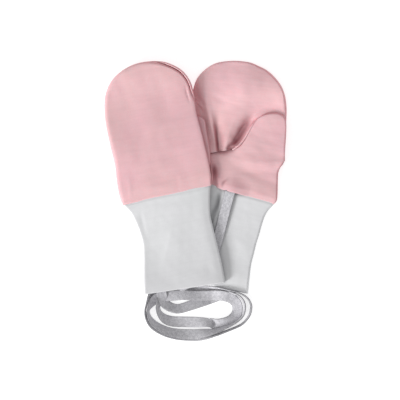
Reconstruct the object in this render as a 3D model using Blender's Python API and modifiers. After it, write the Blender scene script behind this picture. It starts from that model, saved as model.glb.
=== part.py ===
"""A pair of baby mittens with a tape, laid flat one over the other.

Metres in the file, millimetres in the tables.  +Y runs to the fingertips, +X
to the right, +Z up, and the surface the pair lies on is z = 0.  The left
mitten lies back up, with its thumb underneath, on the edge of the right
mitten, which lies palm up.  A piece of cloth is one named solid.
"""
import math

import bmesh
import bpy
import numpy as np

MM = 0.001
CLOTH = 1.1           # wall of a hand piece
RIB = 1.5             # wall of a cuff, two layers folded at the hem
SEAM = 0.3            # clear distance between pieces at a seam
TAPE_W = 8.2          # width of the tape
TAPE_T = 1.1          # thickness of the tape
FLAT = 4.0            # thickness of an empty hand, back and palm together
PUFF = 0.9            # how much the palm of the right hand stands above FLAT
UNDER = 3.0           # height of the upper palm where the thumb lies on it
THUMB = 6.1           # height of the thumb's front
CUFF_T = 3.6          # thickness of a cuff, both walls together
RAMP = 15.0           # run over which the left mitten climbs the right one
MEET = 1.35           # height of the side seam over the back
SPREAD = (0.22, 0.44, 0.63, 0.8, 0.92, 1.0)   # rings of a hand piece, out to the rolled edge
ROLL = 3              # rings of a rolled edge
MIDDLE = (-0.14, 0.0, 0.0)  # middle of the mittens in the frame of the tables

LEFT_SIDE = (
    # x, y
    (-56.9, -21.6), (-58.8, -17.3), (-60.4, -11.1), (-61.9, -2.5), (-62.9, 7.6),
    (-64.9, 18.6), (-67.4, 29.9), (-69.4, 39.6), (-70.7, 49), (-71.1, 57.6), (-70.5, 64.6),
    (-68.3, 71.2), (-64.6, 77.1), (-59.4, 82.1), (-53, 86.2), (-46, 89), (-38.2, 90.6),
    (-31.2, 91), (-24.2, 90.3), (-17, 87.6), (-10.9, 83.9), (-6.4, 78.8), (-3.7, 73.7),
    (-2.2, 68.5), (-0.8, 61.1), (0.2, 52.1), (2.3, 43.5), (4.8, 34.2), (6.9, 25.6), (9, 17),
    (10.8, 9.2), (11.9, 1.4), (11.9, -6),
)
LEFT_WRIST = (
    # x, y
    (11.9, -6), (-2.3, -9.4), (-19.5, -12.8), (-35.1, -16.1), (-44.5, -18.6),
    (-51.5, -20.3), (-56.9, -21.6),
)
LEFT_PALM_SEAM = (
    # x, y
    (-64.2, 14.2), (-57.7, 14), (-48.4, 14.7), (-39, 15.8), (-31.2, 17.8),
)
LEFT_FOLD = (
    # x, y
    (-31.2, 17.8), (-20.3, 15.4), (-9.4, 13.1), (0.8, 11.2), (10.5, 10),
)
LEFT_THUMB = (
    # x, y
    (-31.2, 17.8), (-25.7, 21.7), (-20.3, 27.9), (-16.8, 34.2), (-13.3, 39.6), (-9, 44.3),
    (-3.9, 47.2), (1.2, 47.8), (4.9, 46.8), (7, 43.9), (8.3, 35), (10.2, 25.2),
    (11.4, 15.4), (12.5, 7.6),
)
LEFT_HEEL = (
    # x, y
    (12.5, 7.6), (13.1, 1.4), (12.9, -2.5), (11.9, -6),
)
RIGHT_SIDE = (
    # x, y
    (-6.6, -1.3), (-6.2, 10), (-5.5, 25.6), (-4.7, 41.2), (-3.9, 54.4), (-3.1, 63),
    (-1.9, 70.8), (0.8, 77.8), (5.1, 82.9), (10.9, 87), (17.9, 89.6), (29.6, 90.8),
    (41.3, 90.1), (49.1, 87.4), (55.8, 83.9), (62, 78.2), (66.5, 72.2), (69.1, 66.1),
    (70.4, 59.9), (70.9, 52.9), (70.6, 43.5), (70.4, 33.4), (69.7, 23.2), (69.3, 13.9),
    (68.2, 10.8), (65.7, 7.6), (64.4, 3.7), (64, -3.3), (63.8, -13.4), (62.9, -18.5),
    (60.5, -20.7),
)
RIGHT_WRIST = (
    # x, y
    (60.5, -20.7), (57.7, -19.2), (46, -16), (33.5, -12.8), (21.1, -9.4), (12.5, -6.2),
    (3.1, -3.3), (-6.6, -1.3),
)
RIGHT_PALM_SEAM = (
    # x, y
    (-5.8, 19), (1.6, 18.7), (10.8, 19.2), (18.7, 20.4), (28.1, 22),
)
RIGHT_FOLD = (
    # x, y
    (28.1, 22), (39, 19.7), (49.9, 17.4), (60.1, 15.4), (69.3, 13.9),
)
RIGHT_THUMB = (
    # x, y
    (28.1, 22), (33.8, 25.2), (38.1, 30.7), (41.4, 36.7), (44.7, 42.1), (48.5, 46.5),
    (53.5, 49.5), (60.6, 50.9), (65.8, 50), (69.3, 47.4), (70.5, 42.7), (70.4, 33.4),
    (69.7, 23.2), (69.3, 13.9),
)
RIGHT_HEEL = (
    # x, y
    (69.3, 13.9), (65.7, 7.6), (64.4, 3.7), (64, -3.3), (63.8, -13.4), (62.9, -18.5),
    (60.5, -20.7),
)
# the right mitten's edge where the left mitten hides it, from tip to hem
RIGHT_UNDER_LEFT = (
    # x, y
    (18.7, 91.1), (11.7, 87.2), (3.1, 81), (-0.8, 74.7), (-2.7, 67.7), (-3.9, 56.8),
    (-4.8, 41.2), (-5.6, 21.7), (-6.6, -1.7), (-9, -15.8), (-12.5, -32.9), (-16.4, -51.6),
    (-20.3, -68.8), (-22.2, -77.4), (-23.4, -95.3),
)
LEFT_CUFF = (
    # left x, left y, right x, right y
    (-56.6, -22.2, 11.5, -6.6),
    (-53.8, -24.3, 11, -12.6),
    (-49.8, -27.8, 10.8, -18.9),
    (-46.3, -33.7, 10.9, -25.1),
    (-43.4, -41.5, 11.6, -31.4),
    (-41.1, -50.9, 13.5, -39.2),
    (-40.2, -61, 16.1, -50.1),
    (-39.8, -71.1, 18.6, -60.2),
    (-39.8, -81.3, 21, -71.1),
    (-39.6, -90.9, 23, -81.6),
)
RIGHT_CUFF = (
    # left x, left y, right x, right y
    (-6.6, -1.9, 60.3, -21.2),
    (-7.3, -8, 56.6, -25.1),
    (-8.9, -15.8, 53.5, -30.6),
    (-10.6, -24.3, 51.2, -37.6),
    (-12.5, -32.9, 49.5, -43.8),
    (-14.4, -42.3, 47.3, -50.9),
    (-16.4, -51.6, 45.2, -59.4),
    (-18.3, -60.2, 43.1, -68),
    (-20.3, -68.8, 41.8, -78.9),
    (-21.8, -77, 40.7, -90.5),
)
TAPE_RUN = (
    # x, y, clear height under it, lean in degrees
    (26.7, -10.5, 5, 0), (22.7, -25.9, 4.1, 2), (16.5, -50.1, 4, 0), (12.5, -61.8, 4, 0),
    (6.6, -71.9, 4, 0), (-0.8, -78.9, 4, 0), (-7.8, -82.8, 3.8, 0), (-16.4, -86, 1.9, 0),
    (-29.2, -88, 1.1, -5), (-33.7, -90.2, 0.3, -30), (-36.1, -93, 0.2, -66),
    (-38.1, -97.7, 0.05, -82), (-39.6, -103.5, 0.05, -86), (-38.5, -108.8, 0.05, -76),
    (-35.3, -114, 0.05, -62), (-30.1, -117.9, 0.05, -52), (-22.6, -121.1, 0.05, -42),
    (-14, -122.8, 0.05, -28), (-4.7, -123.4, 0.05, -18), (3.1, -123.4, 0.05, -26),
    (16, -121.8, 0.05, -72), (21.8, -120.3, 0.05, -83), (34.4, -115.1, 0.05, -86),
    (39.3, -110.7, 0.05, -86), (42.1, -106.1, 0.05, -86), (43.1, -100.2, 0.05, -86),
    (41.8, -96.1, 0.05, -86), (39.4, -93.1, 0.05, -86), (35.6, -90.7, 0.05, -86),
    (30.7, -89, 0.05, -84), (24.4, -88.2, 0.05, -72), (10.9, -88.2, 0.05, -18),
    (-2.3, -88, 0.05, 0), (-21.1, -89.1, 0.05, 0), (-25.2, -90.8, 0.05, -8),
    (-27.8, -93.9, 0.05, -36), (-29, -97.7, 0.05, -62), (-29.7, -101.8, 0.05, -70),
    (-28.2, -106.1, 0.05, -60), (-24.6, -109.9, 0.05, -36), (-18.3, -112.1, 0.05, -10),
    (-9.4, -112.5, 0.05, -2), (0, -112.7, 0.05, -10), (7, -112.9, 0.05, -28),
    (10.9, -113.4, 0.05, -38), (15.1, -113.6, 0.1, 26), (20.5, -112.9, 0.1, 32),
    (26.2, -111.4, 0.2, 20), (30.4, -108.2, 0.4, 8), (32.4, -103.6, 0.9, 0),
    (31.7, -98.4, 1.8, -4), (28.1, -94.4, 3.2, -8), (23, -92.4, 4.7, -12), (17.6, -91.7, 4.8, -8),
    (1.6, -92, 2.1, 19), (-10.9, -91.4, 2.4, 13), (-24.6, -92.4, 3, 0), (-29.4, -93.3, 2.5, -10),
    (-32.9, -95.7, 1.2, -34), (-37, -102.7, 0.3, -78), (-36.7, -107.4, 0.3, -76),
    (-34, -112.2, 0.65, -62), (-28.9, -116.3, 0.85, -52), (-21.7, -119.7, 1.05, -42),
    (-13.7, -121.5, 1.25, -28), (-4.7, -122.1, 1.35, -18), (3.1, -121.7, 1.25, -27),
    (14.8, -119.5, 0.6, -64), (27.1, -114.8, 0.1, -82), (33.4, -110.9, 0.05, -86),
    (36.7, -107.2, 0.05, -86), (38.1, -102.2, 0.05, -86), (37.7, -97.6, 0.05, -86),
    (35.4, -93.8, 0.05, -84), (31.7, -91.4, 0.05, -80), (22.6, -90.6, 0.05, -42),
    (15.1, -93, 0.05, -10), (3.1, -97.2, 0.05, 14), (-11.7, -101.9, 0.05, 27),
    (-17.8, -101.7, 0.3, 28), (-22.8, -99.2, 1.2, 26), (-25.6, -95.6, 2.8, 18),
    (-26.5, -91.4, 4, 6), (-27.1, -86.3, 4.1, 0), (-28.1, -78.9, 3.2, 0), (-29.2, -56.3, 0.05, 0),
    (-25.6, -15.4, 0.05, 0),
)

PINK = (0.78, 0.47, 0.50, 1.0)
GREY = (0.69, 0.69, 0.70, 1.0)
MELANGE = (0.52, 0.51, 0.54, 1.0)


def smooth(t):
    t = min(1.0, max(0.0, t))
    return t * t * (3.0 - 2.0 * t)


def through(rows, count):
    """A smooth open curve through the rows, in count equal steps."""
    p = np.array(rows, float)
    ext = np.vstack([2 * p[0] - p[1], p, 2 * p[-1] - p[-2]])
    fine = []
    for a, b, c, d in zip(ext, ext[1:], ext[2:], ext[3:]):
        for t in np.linspace(0.0, 1.0, 12, endpoint=False):
            fine.append(0.5 * (2 * b + (c - a) * t + (2 * a - 5 * b + 4 * c - d) * t ** 2
                               + (3 * b - a - 3 * c + d) * t ** 3))
    fine = np.array(fine + [p[-1]])
    run = np.r_[0.0, np.cumsum(np.linalg.norm(np.diff(fine[:, :2], axis=0), axis=1))]
    at = np.linspace(0.0, run[-1], count + 1)
    return np.stack([np.interp(at, run, fine[:, k]) for k in range(fine.shape[1])], axis=1)


EDGE = through(RIGHT_UNDER_LEFT, 60)[::-1]


def inside_right(x, y):
    """How far a place lies to the right of the right mitten's hidden edge."""
    return x - float(np.interp(y, EDGE[:, 1], EDGE[:, 0]))


# ---- heights ---------------------------------------------------------------

def right_base(x, y):
    return 0.0


def left_base(x, y):
    """Underside of the left mitten: on the ground, then up over the right one."""
    low = 1.6 * smooth((6.0 - y) / 18.0) + 4.2 * smooth((-52.0 - y) / 32.0)
    over = FLAT + 0.35 + 1.25 * smooth((-2.0 - y) / 22.0) + 0.2 * smooth((-60.0 - y) / 25.0)
    climb = smooth((inside_right(x, y) + RAMP + 4.0) / RAMP) * smooth((86.0 - y) / 16.0)
    return low + (over - low) * climb


def thumb_zone(x, y, table):
    """1 on the thumb and its base, 0 away from it."""
    crotch, tip = table[0], table[6]
    below = smooth((y - crotch[1] + 19.0) / 10.0)
    side = smooth((x - crotch[0] + 8.0) / 10.0)
    return below * side


def right_open(x, y):
    """Height of the empty right hand: fuller away from the left mitten."""
    return FLAT + PUFF * smooth((inside_right(x, y) - 19.0) / 14.0)


def left_open(x, y):
    return FLAT


def under_thumb(x, y, outline):
    """1 under the thumb, falling to 0 beside it."""
    d = outline - np.array((x, y))
    near = float(np.min(np.linalg.norm(d, axis=1)))
    a, b = outline, np.roll(outline, -1, axis=0)
    cross = ((a[:, 1] > y) != (b[:, 1] > y))
    slope = (b[:, 0] - a[:, 0]) / np.where(cross, b[:, 1] - a[:, 1], 1.0)
    hits = np.sum(cross & (x < a[:, 0] + (y - a[:, 1]) * slope))
    return 1.0 if hits % 2 else smooth(1.0 - near / 7.0)


class Hand:
    """The heights of one mitten, measured from its back."""

    def __init__(self, thumb, fold, base, opened, palm_up):
        self.table = thumb
        self.outline = np.vstack([through(thumb, 40), through(fold, 12)[::-1]])
        self.base, self.opened, self.palm_up = base, opened, palm_up

    def whole(self, x, y):
        o = self.opened(x, y)
        return o + (THUMB - o) * thumb_zone(x, y, self.table)

    def upper(self, x, y):
        o = self.opened(x, y)
        return o + (UNDER - o) * under_thumb(x, y, self.outline)

    def place(self, x, y, h):
        if self.palm_up:
            return self.base(x, y) + h
        return self.base(x, y) + self.whole(x, y) - h


# ---- cloth ------------------------------------------------------------------

def material(name, colour):
    m = bpy.data.materials.new(name)
    m.use_nodes = True
    shader = m.node_tree.nodes["Principled BSDF"]
    shader.inputs["Base Color"].default_value = colour
    shader.inputs["Roughness"].default_value = 0.9
    return m


def BACK(x, y):
    return 0.0


def finish(name, points, faces, wall, colour, home):
    mesh = bpy.data.meshes.new(name)
    mesh.from_pydata([tuple((float(c) - o) * MM for c, o in zip(p, MIDDLE)) for p in points],
                     [], faces)
    bm = bmesh.new()
    bm.from_mesh(mesh)
    bmesh.ops.triangulate(bm, faces=[f for f in bm.faces if len(f.verts) > 4])
    bm.to_mesh(mesh)
    bm.free()
    mesh.materials.append(material(name + "_cloth", colour))
    ob = bpy.data.objects.new(name, mesh)
    home.objects.link(ob)
    shell = ob.modifiers.new("wall", "SOLIDIFY")
    shell.thickness = wall * MM
    shell.offset = -1.0
    shell.use_even_offset = False
    shell.use_quality_normals = True
    return ob


def panel(name, arcs, centre, height, hand, outer_up, home, flap=None):
    """A hand piece: rings from its middle out to a rolled edge.

    An arc is (rows, steps, roll, rim at its start, rim at its end): roll is
    the run of the rolled edge, a rim of zero or less dips by that much under
    the outer face, and a rim above zero lies that high over the back.
    height(x, y) is the outer face over the back.  A flap carries the cloth
    on round a fold, as (arc index, thumb table, steps).
    """
    line, roll, rim, starts = [], [], [], []
    for rows, steps, run, rim0, rim1 in arcs:
        starts.append(len(line))
        for k, p in enumerate(through(rows, steps)[:-1]):
            line.append(p)
            roll.append(run)
            rim.append(rim0 + (rim1 - rim0) * k / steps)
    line, n = np.array(line), len(line)
    area = 0.5 * np.sum(line[:, 0] * np.roll(line[:, 1], -1) - np.roll(line[:, 0], -1) * line[:, 1])
    turn = 1.0 if area > 0 else -1.0
    ahead = np.roll(line, -1, axis=0) - line
    ahead /= np.linalg.norm(ahead, axis=1)[:, None]
    normal = turn * np.stack([-ahead[:, 1], ahead[:, 0]], axis=1)
    inward = normal + np.roll(normal, 1, axis=0)
    inward /= np.linalg.norm(inward, axis=1)[:, None]
    inward /= np.clip(np.sum(inward * normal, axis=1), 0.75, 1.0)[:, None]
    roll = np.array(roll)
    edge = line + inward * (SEAM / 2)
    flat = edge + inward * roll[:, None]
    middle = np.array(centre)

    def lay(q, drop=0.0):
        h = height(q[0], q[1])
        down = -1.0 if height is BACK else 1.0
        return (q[0], q[1], hand.place(q[0], q[1], h - down * drop))

    points = [lay(middle)]
    for s in SPREAD:
        points += [lay(q) for q in middle + (flat - middle) * s]
    drops = []
    for q, r in zip(edge, rim):
        h = height(q[0], q[1])
        drops.append(-r if r <= 0 else abs(h - r))
    for k in range(1, ROLL + 1):
        a = math.radians(min(90.0, 90.0 * k / (ROLL - 1)))
        ring = edge + inward * (roll * (1.0 - math.sin(a)))[:, None]
        for q, d in zip(ring, drops):
            tail = min(0.35, d / 3.0)
            points.append(lay(q, d if k == ROLL else (d - tail) * (1.0 - math.cos(a))))
    rings = len(SPREAD) + ROLL
    faces = [(0, 1 + j, 1 + (j + 1) % n) for j in range(n)]
    for k in range(rings - 1):
        for j in range(n):
            a, b = 1 + k * n + j, 1 + k * n + (j + 1) % n
            faces.append((a, a + n, b + n, b))
    if flap:
        index, table, climbs = flap
        first, steps = starts[index], arcs[index][1]
        row = [1 + (rings - 1) * n + (first + k) % n for k in range(steps + 1)]
        r = SEAM / 2
        lift = 1.0 if hand.palm_up else -1.0
        bands = []
        for a in (60.0, 120.0, 180.0):
            a = math.radians(a)
            bands.append([(points[i][0] - inward[(i - 1) % n][0] * r * math.sin(a),
                           points[i][1] - inward[(i - 1) % n][1] * r * math.sin(a),
                           points[i][2] + lift * r * (1.0 - math.cos(a))) for i in row])
        low = np.array([p[:2] for p in bands[-1]])
        top = through(table, 60)
        top = top + (top.mean(axis=0) - top) * 0.05
        left, right = through(top[:9], climbs), through(top[-16:][::-1], climbs)
        high = through(top[8:46], steps)
        left, right = left + (low[0] - left[0]), right + (low[-1] - right[0])
        high = high + (left[-1] - high[0]) + np.linspace(0, 1, steps + 1)[:, None] * (
            (right[-1] - left[-1]) - (high[-1] - high[0]))
        for k in range(1, climbs + 1):
            v, band = k / climbs, []
            for j in range(steps + 1):
                u = j / steps
                q = ((1 - v) * low[j] + v * high[j] + (1 - u) * left[k] + u * right[k]
                     - (1 - u) * ((1 - v) * low[0] + v * high[0])
                     - u * ((1 - v) * low[-1] + v * high[-1]))
                band.append((q[0], q[1], hand.place(q[0], q[1], UNDER + SEAM)))
            bands.append(band)
        before = row
        for band in bands:
            new = list(range(len(points), len(points) + len(band)))
            points += band
            for j in range(steps):
                faces.append((before[j], new[j], new[j + 1], before[j + 1]))
            before = new
    if (turn > 0) != outer_up:
        faces = [tuple(reversed(f)) for f in faces]
    return finish(name, points, faces, CLOTH, PINK, home)


def cuff(name, table, wrist, base, home):
    """A flattened tube: sections from the wrist seam, which it follows, to the folded hem."""
    seam = through(sorted(wrist), 16)
    rows = through(table, 8)
    length = np.r_[0.0, np.cumsum(np.linalg.norm(np.diff(rows, axis=0), axis=1) / math.sqrt(2))]
    top = [(0.15, 0.75), (0.5, 0.3), (1.3, 0.0)]
    hem = [(0.9, 0.0), (0.35, 0.35), (0.0, 1.0)]
    stations = [(d, i) for d, i in top]
    stations += [(d, 0.0) for d in length[1:-1] if 3.0 < d < length[-1] - 3.0]
    stations += [(length[-1] - d, i) for d, i in hem]
    across, around = 8, 4
    points, faces, per = [], [], 0
    for d, inset in stations:
        lx, ly, rx, ry = (float(np.interp(d, length, rows[:, k])) for k in range(4))
        wide = math.hypot(rx - lx, ry - ly)
        ex, ey = (rx - lx) / wide, (ry - ly) / wide
        thick = FLAT + (CUFF_T - FLAT) * smooth(d / 12.0)
        half = thick / 2.0
        ring = [(half + (wide - thick) * k / across, 90.0) for k in range(across + 1)]
        ring += [(wide - half, 90.0 - 180.0 * k / around) for k in range(1, around)]
        ring += [(half + (wide - thick) * (across - k) / across, -90.0) for k in range(across + 1)]
        ring += [(half, -90.0 - 180.0 * k / around) for k in range(1, around)]
        per = len(ring)
        for s, a in ring:
            a = math.radians(a)
            across_at = s + (half - inset) * math.cos(a)
            x, y = lx + ex * across_at, ly + ey * across_at
            u = across_at / wide
            chord = seam[0] + (seam[-1] - seam[0]) * u
            bow = float(np.interp(chord[0], seam[:, 0], seam[:, 1])) - chord[1]
            y += bow * (1.0 - smooth(d / 22.0))
            z = base(x, y) + half + (half - inset) * math.sin(a)
            points.append((x, y, z))
    for k in range(len(stations) - 1):
        for j in range(per):
            a, b = k * per + j, k * per + (j + 1) % per
            faces.append((a, a + per, b + per, b))
    return finish(name, points, faces, RIB, GREY, home)


def tape(name, table, steps, home):
    """One flat strip along its run, leaning where it stands on its edge."""
    run = through(table, steps)
    run[:, 2] = np.maximum(run[:, 2], 0.05)
    ahead = np.gradient(run[:, :2], axis=0)
    ahead /= np.linalg.norm(ahead, axis=1)[:, None]
    points, faces = [], []
    for (x, y, lift, lean), (tx, ty) in zip(run, ahead):
        a = math.radians(lean)
        z = lift + TAPE_W / 2 * abs(math.sin(a)) + TAPE_T / 2
        wx, wy, wz = -ty * math.cos(a), tx * math.cos(a), math.sin(a)
        for s in (TAPE_W / 2, 0.0, -TAPE_W / 2):
            points.append((x + wx * s, y + wy * s, z + wz * s))
    for k in range(len(run) - 1):
        for j in range(2):
            a = 3 * k + j
            faces.append((a, a + 1, a + 4, a + 3))
    ob = finish(name, points, faces, TAPE_T, MELANGE, home)
    ob.modifiers["wall"].offset = 0.0
    return ob


def above(side, first, last):
    """The outline over two places on it, one on the left and one on the right."""
    top = max(range(len(side)), key=lambda k: side[k][1])
    rows = [p for p in side[:top] if p[1] > first[1] + 3.0]
    rows += [p for p in side[top:] if p[1] > last[1] + 3.0]
    return [first] + rows + [last]


def mitten(side, hand, outline, wrist, seam, fold, thumb, heel, centres, home):
    """Back, upper palm with the thumb's back folded from it, lower palm with the thumb's front."""
    up = hand.palm_up
    low, high = MEET - SEAM / 2, MEET + SEAM / 2
    over = UNDER + 2 * SEAM + CLOTH
    round_tip = above(outline, seam[0], fold[-1])
    corner = [p for p in outline[:8] if p[1] < seam[0][1] - 3.0] + [seam[0]]
    flank = [fold[-1]] + [p for p in outline[-8:] if p[1] < fold[-1][1] - 2.0]
    panel(side + "_back",
          ((round_tip, 23, 1.9, low, low), (flank, 4, 1.8, low, low),
           (wrist, 7, 1.3, -0.7, -0.7), (corner, 3, 1.8, low, low)),
          centres[0], BACK, hand, not up, home)
    panel(side + "_palm_upper",
          ((round_tip, 23, 1.9, high, high),
           (fold[::-1], 6, 1.2, 0.0, 0.0),
           (seam[::-1], 5, 1.2, 0.0, -0.7)),
          centres[1], hand.upper, hand, up, home, flap=(1, thumb[::-1], 4))
    panel(side + "_palm_lower",
          ((seam, 6, 1.2, -0.7, -1.1), (thumb, 13, 1.3, over, over),
           (heel[:2], 2, 1.6, over, high), (heel[1:], 4, 1.8, high, high),
           (wrist, 7, 1.3, -0.7, -0.7), (corner, 3, 1.8, high, high)),
          centres[2], hand.whole, hand, up, home)


def build():
    for ob in list(bpy.data.objects):
        bpy.data.objects.remove(ob, do_unlink=True)
    home = bpy.data.collections.new("baby_mittens")
    bpy.context.scene.collection.children.link(home)
    right = Hand(RIGHT_THUMB, RIGHT_FOLD, right_base, right_open, True)
    left = Hand(LEFT_THUMB, LEFT_FOLD, left_base, left_open, False)
    mitten("right", right, RIGHT_SIDE, RIGHT_WRIST, RIGHT_PALM_SEAM, RIGHT_FOLD, RIGHT_THUMB,
           RIGHT_HEEL, ((37.0, 36.0), (33.0, 52.0), (48.0, 3.0)), home)
    mitten("left", left, LEFT_SIDE, LEFT_WRIST, LEFT_PALM_SEAM, LEFT_FOLD, LEFT_THUMB,
           LEFT_HEEL, ((-28.0, 36.0), (-33.0, 52.0), (-8.0, -3.0)), home)
    cuff("right_cuff", RIGHT_CUFF, RIGHT_WRIST, right_base, home)
    cuff("left_cuff", LEFT_CUFF, LEFT_WRIST, left_base, home)
    tape("tape", TAPE_RUN, 80, home)


build()
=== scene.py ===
"""Looks of the pair of baby mittens: cloth panels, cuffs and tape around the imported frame.

Tables are in millimetres in the frame of the part, or in pixels of the
400 x 400 picture where they are marked so (at() turns those into millimetres).
"""
import math

import bpy
import numpy as np
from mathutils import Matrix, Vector


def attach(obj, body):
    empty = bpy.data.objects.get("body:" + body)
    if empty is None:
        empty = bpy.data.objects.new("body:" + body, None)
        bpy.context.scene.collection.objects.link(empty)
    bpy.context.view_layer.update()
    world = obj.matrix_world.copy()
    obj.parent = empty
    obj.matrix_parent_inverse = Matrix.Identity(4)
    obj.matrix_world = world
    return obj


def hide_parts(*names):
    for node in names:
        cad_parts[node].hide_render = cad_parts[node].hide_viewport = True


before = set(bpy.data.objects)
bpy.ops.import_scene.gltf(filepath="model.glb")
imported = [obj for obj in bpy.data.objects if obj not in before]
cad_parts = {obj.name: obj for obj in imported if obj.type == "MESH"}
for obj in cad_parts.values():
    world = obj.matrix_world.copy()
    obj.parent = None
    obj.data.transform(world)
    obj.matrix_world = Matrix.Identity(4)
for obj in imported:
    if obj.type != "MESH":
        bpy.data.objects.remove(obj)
bpy.context.view_layer.update()

MM = 0.001
CLOTH, SEAM = 1.1, 0.3
TAPE_W, TAPE_T = 8.2, 1.1
FLAT, PUFF, UNDER, THUMB = 4.0, 4.0, 3.0, 6.1
CUFF_T, CUFF_WALL = 3.6, 1.5
RAMP, MEET = 15.0, 1.35
MIDDLE = np.array((-0.14, 0.0, 0.0))
SCALE = 0.78          # millimetres in a pixel of the picture

LEFT_SIDE = (
    # x, y
    (-56.9, -21.6), (-58.8, -17.3), (-60.4, -11.1), (-61.9, -2.5), (-62.9, 7.6),
    (-65.4, 18.6), (-68.0, 29.9), (-70.0, 39.6), (-71.2, 49), (-71.4, 57.6), (-70.6, 64.6),
    (-68.3, 71.2), (-64.6, 77.1), (-59.4, 82.1), (-53, 86.2), (-46, 89), (-38.2, 90.6),
    (-31.2, 91), (-24.2, 90.3), (-17, 87.6), (-10.9, 83.9), (-6.4, 78.8), (-3.7, 73.7),
    (-2.2, 68.5), (-0.8, 61.1), (0.2, 52.1), (2.3, 43.5), (4.8, 34.2), (6.9, 25.6), (9, 17),
    (10.8, 9.2), (11.9, 1.4), (11.9, -6),
)
LEFT_WRIST = (
    # x, y
    (11.9, -6), (-2.3, -9.4), (-19.5, -12.8), (-35.1, -16.1), (-44.5, -18.6),
    (-51.5, -20.3), (-56.9, -21.6),
)
LEFT_PALM_SEAM = (
    # x, y
    (-64.2, 14.2), (-57.7, 14), (-48.4, 14.7), (-39, 15.8), (-31.2, 17.8),
)
LEFT_FOLD = (
    # x, y
    (-31.2, 17.8), (-20.3, 15.4), (-9.4, 13.1), (0.8, 11.2), (10.5, 10),
)
LEFT_THUMB = (
    # x, y
    (-31.2, 17.8), (-25.7, 21.7), (-20.3, 27.9), (-16.8, 34.2), (-13.3, 39.6), (-9, 44.3),
    (-3.9, 47.2), (1.2, 47.8), (4.9, 46.8), (7, 43.9), (8.3, 35), (10.2, 25.2),
    (11.4, 15.4), (12.5, 7.6),
)
LEFT_HEEL = (
    # x, y
    (12.5, 7.6), (13.1, 1.4), (12.9, -2.5), (11.9, -6),
)
RIGHT_SIDE = (
    # x, y
    (-6.6, -1.3), (-6.2, 10), (-5.5, 25.6), (-4.7, 41.2), (-3.9, 54.4), (-3.1, 63),
    (-1.9, 70.8), (0.8, 77.8), (5.1, 82.9), (10.9, 87.4), (17.9, 90.3), (29.6, 91.5),
    (41.3, 90.4), (49.1, 87.4), (55.8, 83.9), (62, 78.2), (66.5, 72.2), (69.1, 66.1),
    (70.4, 59.9), (70.9, 52.9), (70.6, 43.5), (70.4, 33.4), (69.7, 23.2), (69.3, 13.9),
    (68.2, 10.8), (65.7, 7.6), (64.4, 3.7), (64, -3.3), (63.8, -13.4), (62.9, -18.5),
    (60.5, -20.7),
)
RIGHT_WRIST = (
    # x, y
    (60.5, -20.7), (57.7, -19.2), (46, -16), (33.5, -12.8), (21.1, -9.4), (12.5, -6.2),
    (3.1, -3.3), (-6.6, -1.3),
)
RIGHT_PALM_SEAM = (
    # x, y
    (-5.8, 19), (1.6, 18.7), (10.8, 19.2), (18.7, 20.4), (28.1, 22),
)
RIGHT_FOLD = (
    # x, y
    (28.1, 22), (39, 19.7), (49.9, 17.4), (60.1, 15.4), (69.3, 13.9),
)
RIGHT_THUMB = (
    # x, y
    (28.1, 22), (33.8, 25.2), (38.1, 30.7), (41.4, 36.7), (44.7, 42.1), (48.5, 46.5),
    (53.5, 49.5), (60.6, 50.9), (65.8, 50), (69.3, 47.4), (70.5, 42.7), (70.4, 33.4),
    (69.7, 23.2), (69.3, 13.9),
)
RIGHT_HEEL = (
    # x, y
    (69.3, 13.9), (65.7, 7.6), (64.4, 3.7), (64, -3.3), (63.8, -13.4), (62.9, -18.5),
    (60.5, -20.7),
)
RIGHT_UNDER_LEFT = (
    # x, y
    (18.7, 91.1), (11.7, 87.2), (3.1, 81), (-0.8, 74.7), (-2.7, 67.7), (-3.9, 56.8),
    (-4.8, 41.2), (-5.6, 21.7), (-6.6, -1.7), (-9, -15.8), (-12.5, -32.9), (-16.4, -51.6),
    (-20.3, -68.8), (-22.2, -77.4), (-23.4, -95.3),
)
LEFT_CUFF = (
    # left x, left y, right x, right y
    (-56.6, -22.2, 11.5, -6.6),
    (-54.6, -24.3, 11, -12.6),
    (-51.4, -27.8, 10.8, -18.9),
    (-48.3, -33.7, 10.9, -25.1),
    (-45.1, -41.5, 11.6, -31.4),
    (-42.3, -50.9, 13.5, -39.2),
    (-41.4, -61, 16.1, -50.1),
    (-41.2, -71.1, 18.6, -60.2),
    (-41.0, -81.3, 21, -71.1),
    (-40.6, -90.9, 23, -81.6),
)
RIGHT_CUFF = (
    # left x, left y, right x, right y
    (-6.6, -1.9, 60.3, -21.2),
    (-7.3, -8, 56.6, -25.1),
    (-8.9, -15.8, 53.5, -30.6),
    (-10.6, -24.3, 51.2, -37.6),
    (-12.5, -32.9, 49.5, -43.8),
    (-14.4, -42.3, 47.3, -50.9),
    (-16.4, -51.6, 45.2, -59.4),
    (-18.3, -60.2, 43.1, -68),
    (-20.3, -68.8, 41.8, -78.9),
    (-21.8, -77, 40.7, -90.5),
)
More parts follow.
